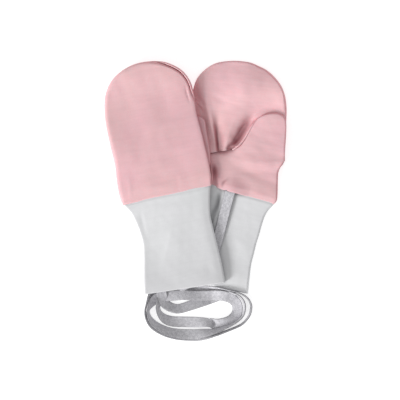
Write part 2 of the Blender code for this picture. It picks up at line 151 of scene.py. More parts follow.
TAPE_RUN = (
    # x, y, clear height under it, lean in degrees
    (26.7, -10.5, 5, 0), (22.7, -25.9, 4.1, 2), (16.5, -50.1, 4, 0), (12.5, -61.8, 4, 0),
    (6.6, -71.9, 4, 0), (-0.8, -78.9, 4, 0), (-7.8, -82.8, 3.8, 0), (-16.4, -86, 1.9, 0),
    (-29.2, -88, 1.1, -5), (-33.7, -90.2, 0.3, -30), (-36.1, -93, 0.2, -66),
    (-38.1, -97.7, 0.05, -82), (-39.6, -103.5, 0.05, -86), (-38.5, -108.8, 0.05, -76),
    (-35.3, -114, 0.05, -62), (-30.1, -117.9, 0.05, -52), (-22.6, -121.1, 0.05, -42),
    (-14, -122.8, 0.05, -28), (-4.7, -123.4, 0.05, -18), (3.1, -123.4, 0.05, -26),
    (16, -121.8, 0.05, -72), (21.8, -120.3, 0.05, -83), (34.4, -115.1, 0.05, -86),
    (39.3, -110.7, 0.05, -86), (42.1, -106.1, 0.05, -86), (43.1, -100.2, 0.05, -86),
    (41.8, -96.1, 0.05, -86), (39.4, -93.1, 0.05, -86), (35.6, -90.7, 0.05, -86),
    (30.7, -89, 0.05, -84), (24.4, -88.2, 0.05, -72), (10.9, -88.2, 0.05, -18),
    (-2.3, -88, 0.05, 0), (-21.1, -89.1, 0.05, 0), (-25.2, -90.8, 0.05, -8),
    (-27.8, -93.9, 0.05, -36), (-29, -97.7, 0.05, -62), (-29.7, -101.8, 0.05, -70),
    (-28.2, -106.1, 0.05, -60), (-24.6, -109.9, 0.05, -36), (-18.3, -112.1, 0.05, -10),
    (-9.4, -112.5, 0.05, -2), (0, -112.7, 0.05, -10), (7, -112.9, 0.05, -28),
    (10.9, -113.4, 0.05, -38), (15.1, -113.6, 0.1, 26), (20.5, -112.9, 0.1, 32),
    (26.2, -111.4, 0.2, 20), (30.4, -108.2, 0.4, 8), (32.4, -103.6, 0.9, 0),
    (31.7, -98.4, 1.8, -4), (28.1, -94.4, 3.2, -8), (23, -92.4, 4.7, -12), (17.6, -91.7, 4.8, -8),
    (1.6, -92, 2.1, 19), (-10.9, -91.4, 2.4, 13), (-24.6, -92.4, 3, 0), (-29.4, -93.3, 2.5, -10),
    (-32.9, -95.7, 1.2, -34), (-37, -102.7, 0.3, -78), (-36.7, -107.4, 0.3, -76),
    (-34, -112.2, 0.65, -62), (-28.9, -116.3, 0.85, -52), (-21.7, -119.7, 1.05, -42),
    (-13.7, -121.5, 1.25, -28), (-4.7, -122.1, 1.35, -18), (3.1, -121.7, 1.25, -27),
    (14.8, -119.5, 0.6, -64), (27.1, -114.8, 0.1, -82), (33.4, -110.9, 0.05, -86),
    (36.7, -107.2, 0.05, -86), (38.1, -102.2, 0.05, -86), (37.7, -97.6, 0.05, -86),
    (35.4, -93.8, 0.05, -84), (31.7, -91.4, 0.05, -80), (22.6, -90.6, 0.05, -42),
    (15.1, -93, 0.05, -10), (3.1, -97.2, 0.05, 14), (-11.7, -101.9, 0.05, 27),
    (-17.8, -101.7, 0.3, 28), (-22.8, -99.2, 1.2, 26), (-25.6, -95.6, 2.8, 18),
    (-26.5, -91.4, 4, 6), (-27.1, -86.3, 4.1, 0), (-28.1, -78.9, 3.2, 0), (-29.2, -56.3, 0.05, 0),
    (-25.6, -15.4, 0.05, 0),
)


def at(u, v):
    """Millimetres in the frame of the tables, of a pixel of the picture."""
    return ((u - 196.0) * SCALE, (177.8 - v) * SCALE)


# ---- camera and light -------------------------------------------------------

LENS = 200.0
cam_data = bpy.data.cameras.new("camera")
cam_data.lens = LENS
cam_data.sensor_width = 36.0
cam_data.sensor_height = 36.0
cam_data.clip_start, cam_data.clip_end = 0.05, 50.0
cam = bpy.data.objects.new("camera", cam_data)
bpy.context.scene.collection.objects.link(cam)
aim = np.array((*at(200.0, 200.0), 0.0)) - MIDDLE
cam.location = (aim[0] * MM, aim[1] * MM, 400 * SCALE * MM * LENS / 36.0 + 0.004)
cam.rotation_euler = (0.0, 0.0, 0.0)
bpy.context.scene.camera = cam


def area_light(name, place, towards, size, power, colour=(1.0, 1.0, 1.0)):
    data = bpy.data.lights.new(name, "AREA")
    data.shape = "RECTANGLE"
    data.size, data.size_y = size
    data.energy = power
    data.color = colour
    ob = bpy.data.objects.new(name, data)
    ob.location = place
    ob.rotation_mode = "QUATERNION"
    ob.rotation_quaternion = (Vector(towards) - Vector(place)).to_track_quat("-Z", "Y")
    bpy.context.scene.collection.objects.link(ob)


area_light("key", (-1.66, -1.34, 0.88), (0.0, -0.02, 0.0), (0.66, 0.66), 60.0)

world = bpy.data.worlds.new("studio")
world.use_nodes = True
world.node_tree.nodes["Background"].inputs["Color"].default_value = (1.0, 1.0, 1.0, 1.0)
world.node_tree.nodes["Background"].inputs["Strength"].default_value = 0.63
bpy.context.scene.world = world
bpy.context.scene.view_settings.view_transform = "Standard"
bpy.context.scene.view_settings.look = "None"


# ---- curves and heights -----------------------------------------------------

def smooth(t):
    t = np.clip(t, 0.0, 1.0)
    return t * t * (3.0 - 2.0 * t)


def through(rows, count):
    """A smooth open curve through the rows, in count equal steps."""
    p = np.array(rows, float)
    ext = np.vstack([2 * p[0] - p[1], p, 2 * p[-1] - p[-2]])
    fine = []
    for a, b, c, d in zip(ext, ext[1:], ext[2:], ext[3:]):
        for t in np.linspace(0.0, 1.0, 12, endpoint=False):
            fine.append(0.5 * (2 * b + (c - a) * t + (2 * a - 5 * b + 4 * c - d) * t ** 2
                               + (3 * b - a - 3 * c + d) * t ** 3))
    fine = np.array(fine + [p[-1]])
    run = np.r_[0.0, np.cumsum(np.linalg.norm(np.diff(fine[:, :2], axis=0), axis=1))]
    where = np.linspace(0.0, run[-1], count + 1)
    return np.stack([np.interp(where, run, fine[:, k]) for k in range(fine.shape[1])], axis=1)


def softened(values, reach):
    """A closed row of vectors, each averaged with its neighbours."""
    total = values.copy()
    for k in range(1, reach + 1):
        total = total + np.roll(values, k, axis=0) + np.roll(values, -k, axis=0)
    return total / (2 * reach + 1)


EDGE = through(RIGHT_UNDER_LEFT, 60)[::-1]


def inside_right(x, y):
    """How far a place lies to the right of the right mitten's hidden edge."""
    return x - np.interp(y, EDGE[:, 1], EDGE[:, 0])


WRIST_RIGHT = np.array(sorted(RIGHT_WRIST))
WRIST_LEFT = np.array(sorted(LEFT_WRIST))


def right_base(x, y):
    return np.zeros_like(x)


def left_base(x, y):
    """Underside of the left mitten: on the ground, then up over the right one."""
    low = 1.6 * smooth((6.0 - y) / 18.0) + 4.2 * smooth((-52.0 - y) / 32.0)
    over = FLAT + 0.35 + 1.25 * smooth((-2.0 - y) / 22.0) + 0.2 * smooth((-60.0 - y) / 25.0)
    climb = smooth((inside_right(x, y) + RAMP + 4.0) / RAMP) * smooth((86.0 - y) / 16.0)
    return low + (over - low) * climb


LEFT_EDGE = np.array([(-39.8, -100.0), (-39.8, -71.1), (-40.2, -61.0), (-41.1, -50.9), (-43.4, -41.5),
                      (-46.3, -33.7), (-51.5, -25.5)] + list(LEFT_SIDE[:9]) + [(-71.1, 100.0)])


def left_top(x, y):
    """Upper face of the left mitten: nearly level, a little higher over the right one."""
    edge = np.interp(y, LEFT_EDGE[:, 1], LEFT_EDGE[:, 0])
    over = np.interp(y, EDGE[:, 1], EDGE[:, 0])
    share = smooth((x - edge) / np.maximum(over + 6.0 - edge, 8.0))
    low = 8.3 - 0.6 * smooth((-18.0 - y) / 30.0) + 2.3 * smooth((-52.0 - y) / 38.0)
    high = 9.6 - 0.7 * smooth((y + 10.0) / 30.0) + 0.2 * smooth((-60.0 - y) / 26.0)
    above_wrist = y - np.interp(x, WRIST_LEFT[:, 0], WRIST_LEFT[:, 1])
    rise = 0.7 * smooth(above_wrist / 11.0) + 1.6 * np.clip((y - 32.0) / 50.0, 0.0, 1.0)
    return low + (high - low) * share + rise


def unevenness(seed, wave, x, y):
    """A soft uneven field of about unit height, the same each time."""
    r = np.random.default_rng(seed)
    total = np.zeros_like(x)
    for _ in range(16):
        a, length, phase = r.uniform(0, math.tau), wave * r.uniform(0.7, 1.7), r.uniform(0, math.tau)
        total = total + np.sin((x * math.cos(a) + y * math.sin(a)) * math.tau / length + phase)
    return total / 3.2


def stroke(x, y, rows):
    """A trough or ridge along a line in the picture.

    A row is (u, v, height, width to the left of travel, width to the right).
    """
    rows = np.array([(*at(r[0], r[1]), *r[2:]) for r in rows], float)
    line = through(rows, max(6, 4 * (len(rows) - 1)))
    best = np.full(x.shape, 1e9)
    height, wide = np.zeros(x.shape), np.ones(x.shape)
    for a, b in zip(line[:-1], line[1:]):
        d = b[:2] - a[:2]
        t = np.clip(((x - a[0]) * d[0] + (y - a[1]) * d[1]) / (d @ d), 0.0, 1.0)
        away = np.hypot(x - a[0] - d[0] * t, y - a[1] - d[1] * t)
        side = d[0] * (y - a[1]) - d[1] * (x - a[0])
        near = away < best
        best = np.where(near, away, best)
        height = np.where(near, a[2] + (b[2] - a[2]) * t, height)
        w = np.where(side > 0, a[3] + (b[3] - a[3]) * t, a[4] + (b[4] - a[4]) * t)
        wide = np.where(near, w, wide)
    return height * np.exp(-(best / np.maximum(wide, 0.2)) ** 2)


# picture pixels: u, v, height in mm, width left and right of travel in mm
RIGHT_PALM_FOLDS = (
    # the dip beside the left mitten
    ((193, 70, -0.4, 3.5, 4.5), (194, 82, -1.6, 3.5, 4.5), (196, 94, -1.8, 3.5, 4.5),
     (199, 104, -1.8, 3.5, 3.6), (203, 116, -1.6, 3.5, 3.2), (207, 130, -1.3, 3.5, 3.0),
     (211, 146, -0.8, 3.0, 3.0)),
    # the standing fold: steep on its left, gentle on its right
    ((214.0, 108, 0.0, 4.0, 2.6), (215.6, 119, -0.8, 4.5, 2.2), (216.6, 129, -1.9, 5.0, 1.6),
     (217.6, 138, -2.8, 4.6, 1.3), (218.4, 146, -3.0, 3.6, 1.2), (218.9, 151, -1.7, 2.6, 1.2)),
    # the slack that stands between it and the left mitten
    ((204.0, 92, 0.0, 3.0, 3.0), (206.5, 102, 0.4, 2.8, 2.8), (210.0, 116, 0.5, 2.6, 2.6),
     (212.0, 128, 0.4, 2.0, 2.4), (213.4, 138, 0.3, 1.8, 2.2), (215.0, 149, 0.1, 1.8, 2.0)),
    # the full ridge beside it
    ((223.6, 151, 0.4, 2.2, 2.0), (225.6, 143, 1.2, 3.8, 2.6), (229.0, 131, 1.5, 5.6, 3.4),
     (233.4, 120, 0.9, 6.5, 4.4), (238.5, 106, 0.0, 7.0, 5.0)),
    # the valley and the pit beside the thumb
    ((226.5, 149.4, 0.0, 1.6, 1.0), (231.5, 146.8, -3.4, 2.4, 1.4), (237.0, 143.2, -4.8, 3.2, 1.6),
     (241.5, 137.0, -4.8, 3.6, 1.6), (244.6, 130.0, -4.3, 3.6, 1.8), (248.6, 122.0, -2.6, 3.6, 2.4),
     (253.5, 114.0, -0.9, 4.0, 3.6), (258.0, 106.0, 0.0, 4.5, 4.5)),
    # a slack fold near the left edge
    ((196.5, 101.0, 0.9, 1.2, 1.2), (200, 104.5, 0.9, 1.2, 1.2), (203.5, 109, 0.3, 1.2, 1.2)),
    # soft trough over the thumb's tip
    ((250, 116, -0.2, 3.0, 3.0), (262, 109.5, -0.5, 3.0, 3.0), (275, 108.5, -0.4, 3.0, 3.0),
     (283, 112, 0.0, 3.0, 3.0)),
    # faint slack between the fingers and the ridge
    ((209, 92, 0.0, 3.0, 3.0), (219, 99, -0.35, 3.0, 3.0), (229, 103, 0.0, 3.0, 3.0)),
)
RIGHT_HEEL_FOLDS = (
    # the dimple beside the left mitten
    ((212.8, 164, 0.0, 1.8, 2.2), (213.8, 169, -1.9, 2.0, 1.8), (214.4, 173.5, -1.9, 2.0, 2.0),
     (214.7, 180, -0.9, 1.8, 1.8), (214.4, 187, -0.2, 1.6, 1.6)),
    ((210.0, 154, -0.2, 3.0, 4.0), (212.0, 166, -0.2, 3.0, 5.0), (214.0, 180, -0.4, 3.0, 5.0),
     (214.0, 189, -0.3, 3.0, 4.0)),
    # puckers at the wrist seam
    ((226.0, 178.5, 0.0, 1.2, 1.6), (223.8, 182.3, -0.3, 1.1, 1.6), (222.6, 186.5, 0.0, 1.0, 1.4)),
    ((216.0, 187.0, 0.0, 7.0, 6.0), (225.5, 190.4, 2.0, 8.5, 6.0), (231.0, 191.8, 2.5, 9.0, 6.0),
     (236.5, 193.0, 2.0, 8.5, 6.0), (248.0, 196.4, 0.0, 7.0, 5.0)),
    # the long slack across the heel
    ((222, 156, 0.0, 3.0, 3.0), (233, 163, -0.2, 4.0, 3.5), (247, 169.5, -0.3, 4.5, 4.0),
     (262, 176.5, -0.35, 4.5, 4.0), (272, 182, -0.2, 4.0, 4.0), (278, 187, 0.0, 3.5, 3.5)),
    ((226, 170, 0.0, 4.0, 4.0), (238, 176, 0.15, 4.5, 4.5), (252, 183, 0.2, 4.5, 4.5),
     (266, 190, 0.0, 4.5, 4.5)),
    # the waist under the thumb
    ((284, 157, -0.5, 3.0, 3.0), (277, 158, -0.6, 3.5, 3.5), (268, 159, -0.1, 3.5, 3.5)),
    # fullness of the thumb
    ((256, 136, 0.1, 7.0, 7.0), (266, 125, 0.7, 9.0, 9.0), (273, 121, 0.7, 8.0, 8.0)),
    # the thumb's rolled edge
    ((226.0, 152.0, 0.0, 0.7, 0.7), (232.6, 149.8, -0.5, 0.8, 0.8), (239.4, 145.8, -0.7, 0.8, 0.8),
     (245.0, 138.7, -0.7, 0.8, 0.8), (249.3, 131.0, -0.6, 0.8, 0.8), (253.6, 124.0, -0.4, 0.8, 0.8),
     (258.6, 118.2, 0.0, 0.7, 0.7)),
    # slack below the palm seam
    ((212, 156, -0.3, 2.0, 2.0), (224, 155.5, -0.35, 2.4, 2.4), (238, 152, 0.0, 2.6, 2.6)),
)
LEFT_BACK_FOLDS = (
    ((185.6, 84, 0.0, 0.9, 1.1), (186.6, 92, -0.35, 0.9, 1.1), (188.6, 99, -0.25, 0.9, 1.1),
     (190.4, 105, 0.0, 0.9, 1.1)),
    ((163, 78, 0.0, 7.0, 7.0), (166, 90, -0.2, 7.0, 7.0), (163, 106, -0.1, 7.0, 7.0),
     (158, 122, 0.0, 7.0, 7.0)),
    ((118, 92, 0.0, 5.0, 5.0), (124, 86, -0.12, 5.0, 5.0), (132, 80, 0.0, 5.0, 5.0)),
    ((143, 118, 0.0, 8.0, 8.0), (140, 132, -0.15, 8.0, 8.0), (136, 148, -0.1, 8.0, 8.0),
     (133, 160, 0.0, 8.0, 8.0)),
    ((172, 150, 0.0, 8.0, 8.0), (181, 164, -0.5, 8.0, 8.0), (187, 175, -0.3, 8.0, 8.0),
     (191, 183, 0.0, 8.0, 8.0)),
    ((150, 184, 0.0, 6.0, 4.0), (165, 180, -0.25, 6.0, 4.0), (180, 177, 0.0, 6.0, 4.0)),
    ((128, 176, 0.0, 2.0, 2.0), (130, 186, 0.10, 2.0, 2.0), (131, 196, 0.08, 2.0, 2.0)),
    ((176, 172, 0.0, 2.2, 2.2), (177.5, 180, -0.08, 2.2, 2.2), (178.5, 190, -0.1, 2.2, 2.2)),
)
LEFT_UNDER_FOLDS = (
    ((150, 158, 0.0, 2.4, 2.0), (161, 156, -0.5, 2.4, 2.0), (172, 149, -0.9, 2.6, 2.0),
     (178, 138, -0.8, 3.0, 2.0), (180, 124, 0.0, 3.0, 2.4)),
    ((139, 100, 0.0, 9.0, 9.0), (150, 122, 0.4, 10.0, 10.0), (152, 140, 0.0, 9.0, 9.0)),
    ((164, 153, 0.0, 1.3, 1.2), (162, 140, -0.9, 1.3, 1.2), (160, 128, -0.4, 1.4, 1.4),
     (159, 118, 0.0, 1.4, 1.4)),
)
LEFT_HEEL_FOLDS = (
    ((120, 170, 0.0, 4.0, 4.0), (142, 178, -0.35, 4.5, 4.5), (165, 182, 0.0, 4.0, 4.0)),
    ((190, 150, 0.0, 3.0, 3.0), (193, 166, 0.35, 3.5, 3.5), (192, 180, 0.0, 3.0, 3.0)),
)
RIGHT_BACK_FOLDS = (
    ((205, 80, 0.0, 8.0, 8.0), (226, 104, 0.25, 9.0, 9.0), (238, 132, 0.0, 8.0, 8.0)),
    ((262, 92, 0.0, 7.0, 7.0), (258, 124, 0.2, 8.0, 8.0), (266, 158, 0.0, 7.0, 7.0)),
    ((230, 172, 0.0, 2.0, 2.0), (231, 184, 0.25, 2.0, 2.0), (230.5, 192, 0.25, 2.0, 2.0)),
)


def thumb_zone(x, y, table):
    """1 on the thumb and its base, 0 away from it."""
    crotch = table[0]
    below = smooth((y - crotch[1] + 19.0) / 10.0)
    side = smooth((x - crotch[0] + 3.0) / 19.0)
    return below * side


def right_open(x, y):
    """Height of the empty right hand: fuller away from the left mitten and towards the fingertips."""
    full = smooth((inside_right(x, y) - 19.0) / 26.0) * (1.0 - 0.8 * smooth((y - 60.0) / 34.0))
    full = full * smooth((y - 16.0) / 12.0) * smooth((72.5 - x) / 5.0)
    full = full * (0.42 + 0.58 * smooth((0.6 * (x - 20.0) + 0.8 * (y - 35.0)) / 38.0))
    tip = 1.0 * smooth((y - 74.0) / 17.0)
    up = y - np.interp(x, WRIST_RIGHT[:, 0], WRIST_RIGHT[:, 1])
    heel = 0.55 * smooth(up / 5.0) - 0.25 * smooth((up - 5.0) / 9.0)
    return FLAT + PUFF * full - tip + heel * (1.0 - smooth((y - 62.0) / 24.0))


def left_open(x, y):
    return np.full_like(x, FLAT)


def off_thumb(x, y, outline):
    """How far a place lies outside the thumb, zero on it."""
    near = np.full(x.shape, 1e9)
    inside = np.zeros(x.shape, int)
    for a, b in zip(outline, np.roll(outline, -1, axis=0)):
        near = np.minimum(near, np.hypot(x - a[0], y - a[1]))
        cross = (a[1] > y) != (b[1] > y)
        rise = b[1] - a[1]
        where = a[0] + (y - a[1]) * (b[0] - a[0]) / (rise if abs(rise) > 1e-9 else 1e-9)
        inside += (cross & (x < where)).astype(int)
    return np.where(inside % 2 == 1, 0.0, near)


class Hand:
    """The heights of one mitten, measured from its back."""

    def __init__(self, thumb, fold, base, opened, palm_up, folds, top=None):
        self.table, self.top = thumb, top
        self.outline = np.vstack([through(thumb, 120), through(fold, 36)[::-1]])
        self.base, self.opened, self.palm_up = base, opened, palm_up
        self.folds = folds      # of the back, the upper palm and the lower palm

    def worked(self, kind, x, y):
        """Troughs and ridges worked into one face."""
        total = np.zeros_like(x)
        for rows in self.folds[kind]:
            total = total + stroke(x, y, rows)
        return total

    def bare_whole(self, x, y):
        o = self.opened(x, y)
        return o + (THUMB - o) * thumb_zone(x, y, self.table)

    def whole(self, x, y):
        loose = 0.12 * unevenness(11, 26.0, x, y) + 0.05 * unevenness(12, 9.0, x, y)
        worked = self.worked("lower", x, y) + loose
        return self.bare_whole(x, y) + (worked if self.palm_up else np.minimum(worked, 0.0))

    def upper(self, x, y):
        o = self.opened(x, y)
        off = off_thumb(x, y, self.outline)
        under = smooth(1.0 - off / 4.5)
        if self.palm_up:
            o = FLAT + (o - FLAT) * (0.15 + 0.85 * smooth(off / 26.0))
        loose = 0.16 * unevenness(21, 28.0, x, y) + 0.05 * unevenness(22, 9.0, x, y)
        worked = self.worked("upper", x, y) + loose
        if not self.palm_up:
            worked = np.minimum(worked, 0.0)
        h = o + (UNDER + 1.7 * smooth((y - 43.0) / 6.0) * float(self.palm_up) - o) * under + worked * np.where(worked < 0.0, 1.0 - 0.4 * under, 1.0 - under)
        return np.maximum(h, 2.25)

    def back(self, x, y):
        """The back's outer face, as a depth into the hand."""
        loose = 0.07 * unevenness(31, 34.0, x, y) + 0.02 * unevenness(32, 11.0, x, y)
        raised = self.worked("back", x, y) + loose
        return np.maximum(raised, 0.0) if self.palm_up else -raised

    def place(self, x, y, h):
        base = self.base(x, y)
        if self.palm_up:
            return base + h
        top = self.top(x, y)
        return top - h * (top - base) / self.bare_whole(x, y)


# ---- materials --------------------------------------------------------------

class Nodes:
    """A short way to write a material's nodes."""

    def __init__(self, name):
        self.mat = bpy.data.materials.new(name)
        self.mat.use_nodes = True
        self.tree = self.mat.node_tree
        self.shader = self.tree.nodes["Principled BSDF"]

    def add(self, kind, inputs=(), **settings):
        node = self.tree.nodes.new(kind)
        for key, value in settings.items():
            setattr(node, key, value)
        for key, value in dict(inputs).items():
            if isinstance(value, bpy.types.NodeSocket):
                self.tree.links.new(value, node.inputs[key])
            else:
                node.inputs[key].default_value = value
        return node

    def maths(self, operation, a, b=0.0, c=0.0):
        return self.add("ShaderNodeMath", {0: a, 1: b, 2: c}, operation=operation).outputs[0]

    def mix(self, share, a, b, how="MIX"):
        node = self.add("ShaderNodeMix", data_type="RGBA", blend_type=how)
        for key, value in ((0, share), (6, a), (7, b)):
            if isinstance(value, bpy.types.NodeSocket):
                self.tree.links.new(value, node.inputs[key])
            else:
                node.inputs[key].default_value = value
        return node.outputs[2]

    def ramp(self, value, stops):
        node = self.add("ShaderNodeValToRGB", {0: value})
        elements = node.color_ramp.elements
        while len(elements) > 1:
            elements.remove(elements[-1])
        elements[0].position, elements[0].color = stops[0]
        for place, colour in stops[1:]:
            elements.new(place).color = colour
        return node.outputs[0]

    def link(self, socket, name):
        self.tree.links.new(socket, self.shader.inputs[name])


def grey(value):
    return (value, value, value, 1.0)


def jersey(name, colour, turn, wale=0.62, streak=0.06, fleck=0.03, bump=0.35, seed=0.0, deep=0.0,
           low=(0.62, 0.62, 0.63), mid=(0.86, 0.86, 0.865), painted_light_and_shade=(), dye=1.0, lee_shade=None,
           fold_shade_colour=(0.40, 0.40, 0.41)):
    """Plain jersey knit: columns of stitches, courses across them, a soft fuzz and uneven dye, with painted shade
    in hollows, in marked folds and on slopes facing away from the key light, and painted light and shade along
    its length.
    """
    n = Nodes(name)
    place = n.add("ShaderNodeTexCoord").outputs["Object"]
    turned = n.add("ShaderNodeMapping", {0: place, "Rotation": (0.0, 0.0, turn),
                                         "Location": (seed, seed * 0.7, 0.0)}).outputs[0]
    # stitches: wales and courses
    w = n.add("ShaderNodeTexWave", {0: turned, "Scale": 0.314159 / (wale * MM),
                                    "Distortion": 0.6, "Detail": 1.0, "Detail Scale": 2.0},
              wave_type="BANDS", bands_direction="X", wave_profile="SIN").outputs["Fac"]
    c = n.add("ShaderNodeTexWave", {0: turned, "Scale": 0.314159 / (wale * 0.8 * MM),
                                    "Distortion": 1.4, "Detail": 1.0, "Detail Scale": 3.0},
              wave_type="BANDS", bands_direction="Y", wave_profile="SIN").outputs["Fac"]
    stitch = n.maths("MULTIPLY_ADD", w, 0.6, n.maths("MULTIPLY", c, 0.4))
    # streaks along the courses
    stretched = n.add("ShaderNodeMapping", {0: turned, "Scale": (60.0, 520.0, 60.0)}).outputs[0]
    lines = n.add("ShaderNodeTexNoise", {0: stretched, "Scale": 1.0, "Detail": 3.0,
                                         "Roughness": 0.6}).outputs["Fac"]
    wide = n.add("ShaderNodeMapping", {0: turned, "Scale": (18.0, 150.0, 18.0)}).outputs[0]
    bands = n.add("ShaderNodeTexNoise", {0: wide, "Scale": 1.0, "Detail": 2.0,
                                         "Roughness": 0.5}).outputs["Fac"]
    cloud = n.add("ShaderNodeTexNoise", {0: turned, "Scale": 22.0, "Detail": 3.0,
                                         "Roughness": 0.55}).outputs["Fac"]
    fuzz = n.add("ShaderNodeTexNoise", {0: turned, "Scale": 2600.0, "Detail": 2.0,
                                        "Roughness": 0.6}).outputs["Fac"]
    # shade of the cloth: 1 plus or minus a little
    shade = n.maths("MULTIPLY_ADD", n.maths("SUBTRACT", lines, 0.5), streak * 2.2, 1.0)
    shade = n.maths("MULTIPLY_ADD", n.maths("SUBTRACT", bands, 0.5), streak * 1.3, shade)
    shade = n.maths("MULTIPLY_ADD", n.maths("SUBTRACT", cloud, 0.5), 0.10, shade)
    shade = n.maths("MULTIPLY_ADD", n.maths("SUBTRACT", fuzz, 0.5), fleck * 3.0, shade)
    shade = n.maths("MULTIPLY_ADD", n.maths("SUBTRACT", stitch, 0.5), 0.035, shade)
    if painted_light_and_shade:
        # painted light and shade: paler and darker along the length of the mitten
        height = n.add("ShaderNodeSeparateXYZ", {0: place}).outputs[1]
        level = n.maths("MULTIPLY_ADD", height, 4.0, 0.5)
        stops = [(0.5 + 4.0 * y * MM, grey(value / 1.2)) for y, value in painted_light_and_shade]
        painted_light_factor = n.maths("MULTIPLY", n.ramp(level, stops), 1.2)
        shade = n.maths("MULTIPLY", shade, painted_light_factor)
    odd = 0.012 * dye
    tint = n.ramp(cloud, ((0.35, (colour[0] * (1 - odd), colour[1] * (1 + odd), colour[2] * (1 - odd), 1.0)),
                          (0.65, (colour[0] * (1 + odd), colour[1] * (1 - odd), colour[2] * (1 + odd), 1.0))))
    # painted shade: darker, redder colour in hollows and next to other cloth, from ambient occlusion
    hollow = n.add("ShaderNodeAmbientOcclusion", {"Distance": 0.011}, samples=6).outputs["AO"]
    painted_shade = n.ramp(hollow, ((0.15, (*low, 1.0)), (0.55, (*mid, 1.0)), (0.93, grey(1.0))))
    tint = n.mix(1.0, tint, painted_shade, "MULTIPLY")
    if lee_shade:
        # painted shade: darker, redder colour where the cloth falls away to the back and the right, away from the
        # key light
        up = n.add("ShaderNodeTexCoord").outputs["Normal"]
        facing = n.add("ShaderNodeVectorMath", {0: up, 1: (-0.719, -0.581, 0.381)},
                       operation="DOT_PRODUCT").outputs["Value"]
        side = n.maths("MULTIPLY_ADD", facing, 0.5, 0.5)
        lee_shade_colour = n.ramp(side, ((0.02, grey(1.0)), (0.26, (*lee_shade[0], 1.0)), (0.42, (*lee_shade[1], 1.0)), (0.62, grey(1.0))))
        tint = n.mix(1.0, tint, lee_shade_colour, "MULTIPLY")
    # painted shade: darker, redder colour by the marked amount, at the bottom of folds, in creases and in
    # shadowed spots
    fold_shade_amount = n.add("ShaderNodeAttribute", attribute_name="painted_fold_shade").outputs["Fac"]
    tint = n.mix(1.0, tint, n.ramp(fold_shade_amount, ((0.0, grey(1.0)), (0.5, (*(0.5 * (1.0 + b) for b in fold_shade_colour), 1.0)),
                                               (1.0, (*fold_shade_colour, 1.0)))), "MULTIPLY")
    scale = n.add("ShaderNodeVectorMath", {0: tint, 3: shade}, operation="SCALE").outputs[0]
    n.link(scale, "Base Color")
    n.shader.inputs["Roughness"].default_value = 0.92
    n.shader.inputs["Specular IOR Level"].default_value = 0.18
    n.shader.inputs["Sheen Weight"].default_value = 0.18
    n.shader.inputs["Sheen Roughness"].default_value = 0.55
    n.shader.inputs["Sheen Tint"].default_value = (*colour[:3], 1.0)
    n.shader.inputs["Subsurface Weight"].default_value = deep
    n.shader.inputs["Subsurface Radius"].default_value = (1.0, 0.28, 0.28)
    n.shader.inputs["Subsurface Scale"].default_value = 0.002
    relief = n.maths("MULTIPLY_ADD", fuzz, 0.35, n.maths("MULTIPLY", stitch, 0.65))
    relief = n.maths("MULTIPLY_ADD", lines, 0.5, relief)
    b = n.add("ShaderNodeBump", {"Strength": bump, "Distance": 0.00022, "Height": relief})
    n.link(b.outputs[0], "Normal")
    return n.mat


def melange(name, light, dark):
    """Grey melange jersey tape: light and dark fibres drawn along it, with painted shade darkening its edges."""
    n = Nodes(name)
    uv = n.add("ShaderNodeTexCoord").outputs["UV"]
    # u runs along the tape in metres, v across it from 0 to 1
    split = n.add("ShaderNodeSeparateXYZ", {0: uv})
    along, across = split.outputs[0], split.outputs[1]
    fibre = n.add("ShaderNodeMapping", {0: uv, "Scale": (1300.0, 12.0, 1.0)}).outputs[0]
    f = n.add("ShaderNodeTexNoise", {0: fibre, "Scale": 1.0, "Detail": 4.0,
                                     "Roughness": 0.75}, noise_dimensions="2D").outputs["Fac"]
    patch = n.add("ShaderNodeMapping", {0: uv, "Scale": (420.0, 4.0, 1.0)}).outputs[0]
    p = n.add("ShaderNodeTexNoise", {0: patch, "Scale": 1.0, "Detail": 2.0,
                                     "Roughness": 0.6}, noise_dimensions="2D").outputs["Fac"]
    stitch = n.add("ShaderNodeMapping", {0: uv, "Scale": (1.0, 0.0082, 1.0)}).outputs[0]
    w = n.add("ShaderNodeTexWave", {0: stitch, "Scale": 0.314159 / (0.7 * MM),
                                    "Distortion": 1.5, "Detail": 1.0, "Detail Scale": 2.0},
              wave_type="BANDS", bands_direction="Y", wave_profile="SIN").outputs["Fac"]
    mixed = n.maths("MULTIPLY_ADD", n.maths("SUBTRACT", p, 0.5), 0.45, f)
    mixed = n.maths("MULTIPLY_ADD", n.maths("SUBTRACT", w, 0.5), 0.10, mixed)
    middle = tuple((a + b) / 2 for a, b in zip(light, dark))
    base = n.ramp(mixed, ((0.30, (*dark, 1.0)), (0.50, (*middle, 1.0)), (0.68, (*light, 1.0))))
    # painted shade at the edges, where the cloth turns under
    edge = n.maths("ABSOLUTE", n.maths("SUBTRACT", across, 0.5))
    painted_shade = n.ramp(edge, ((0.41, grey(1.0)), (0.475, grey(0.72)), (0.5, grey(0.5))))
    n.link(n.mix(1.0, base, painted_shade, "MULTIPLY"), "Base Color")
    n.shader.inputs["Roughness"].default_value = 0.93
    n.shader.inputs["Specular IOR Level"].default_value = 0.15
    n.shader.inputs["Sheen Weight"].default_value = 0.15
    n.shader.inputs["Sheen Roughness"].default_value = 0.5
    relief = n.maths("MULTIPLY_ADD", f, 0.7, n.maths("MULTIPLY", w, 0.5))
    b = n.add("ShaderNodeBump", {"Strength": 0.5, "Distance": 0.0002, "Height": relief})
    n.link(b.outputs[0], "Normal")
    return n.mat


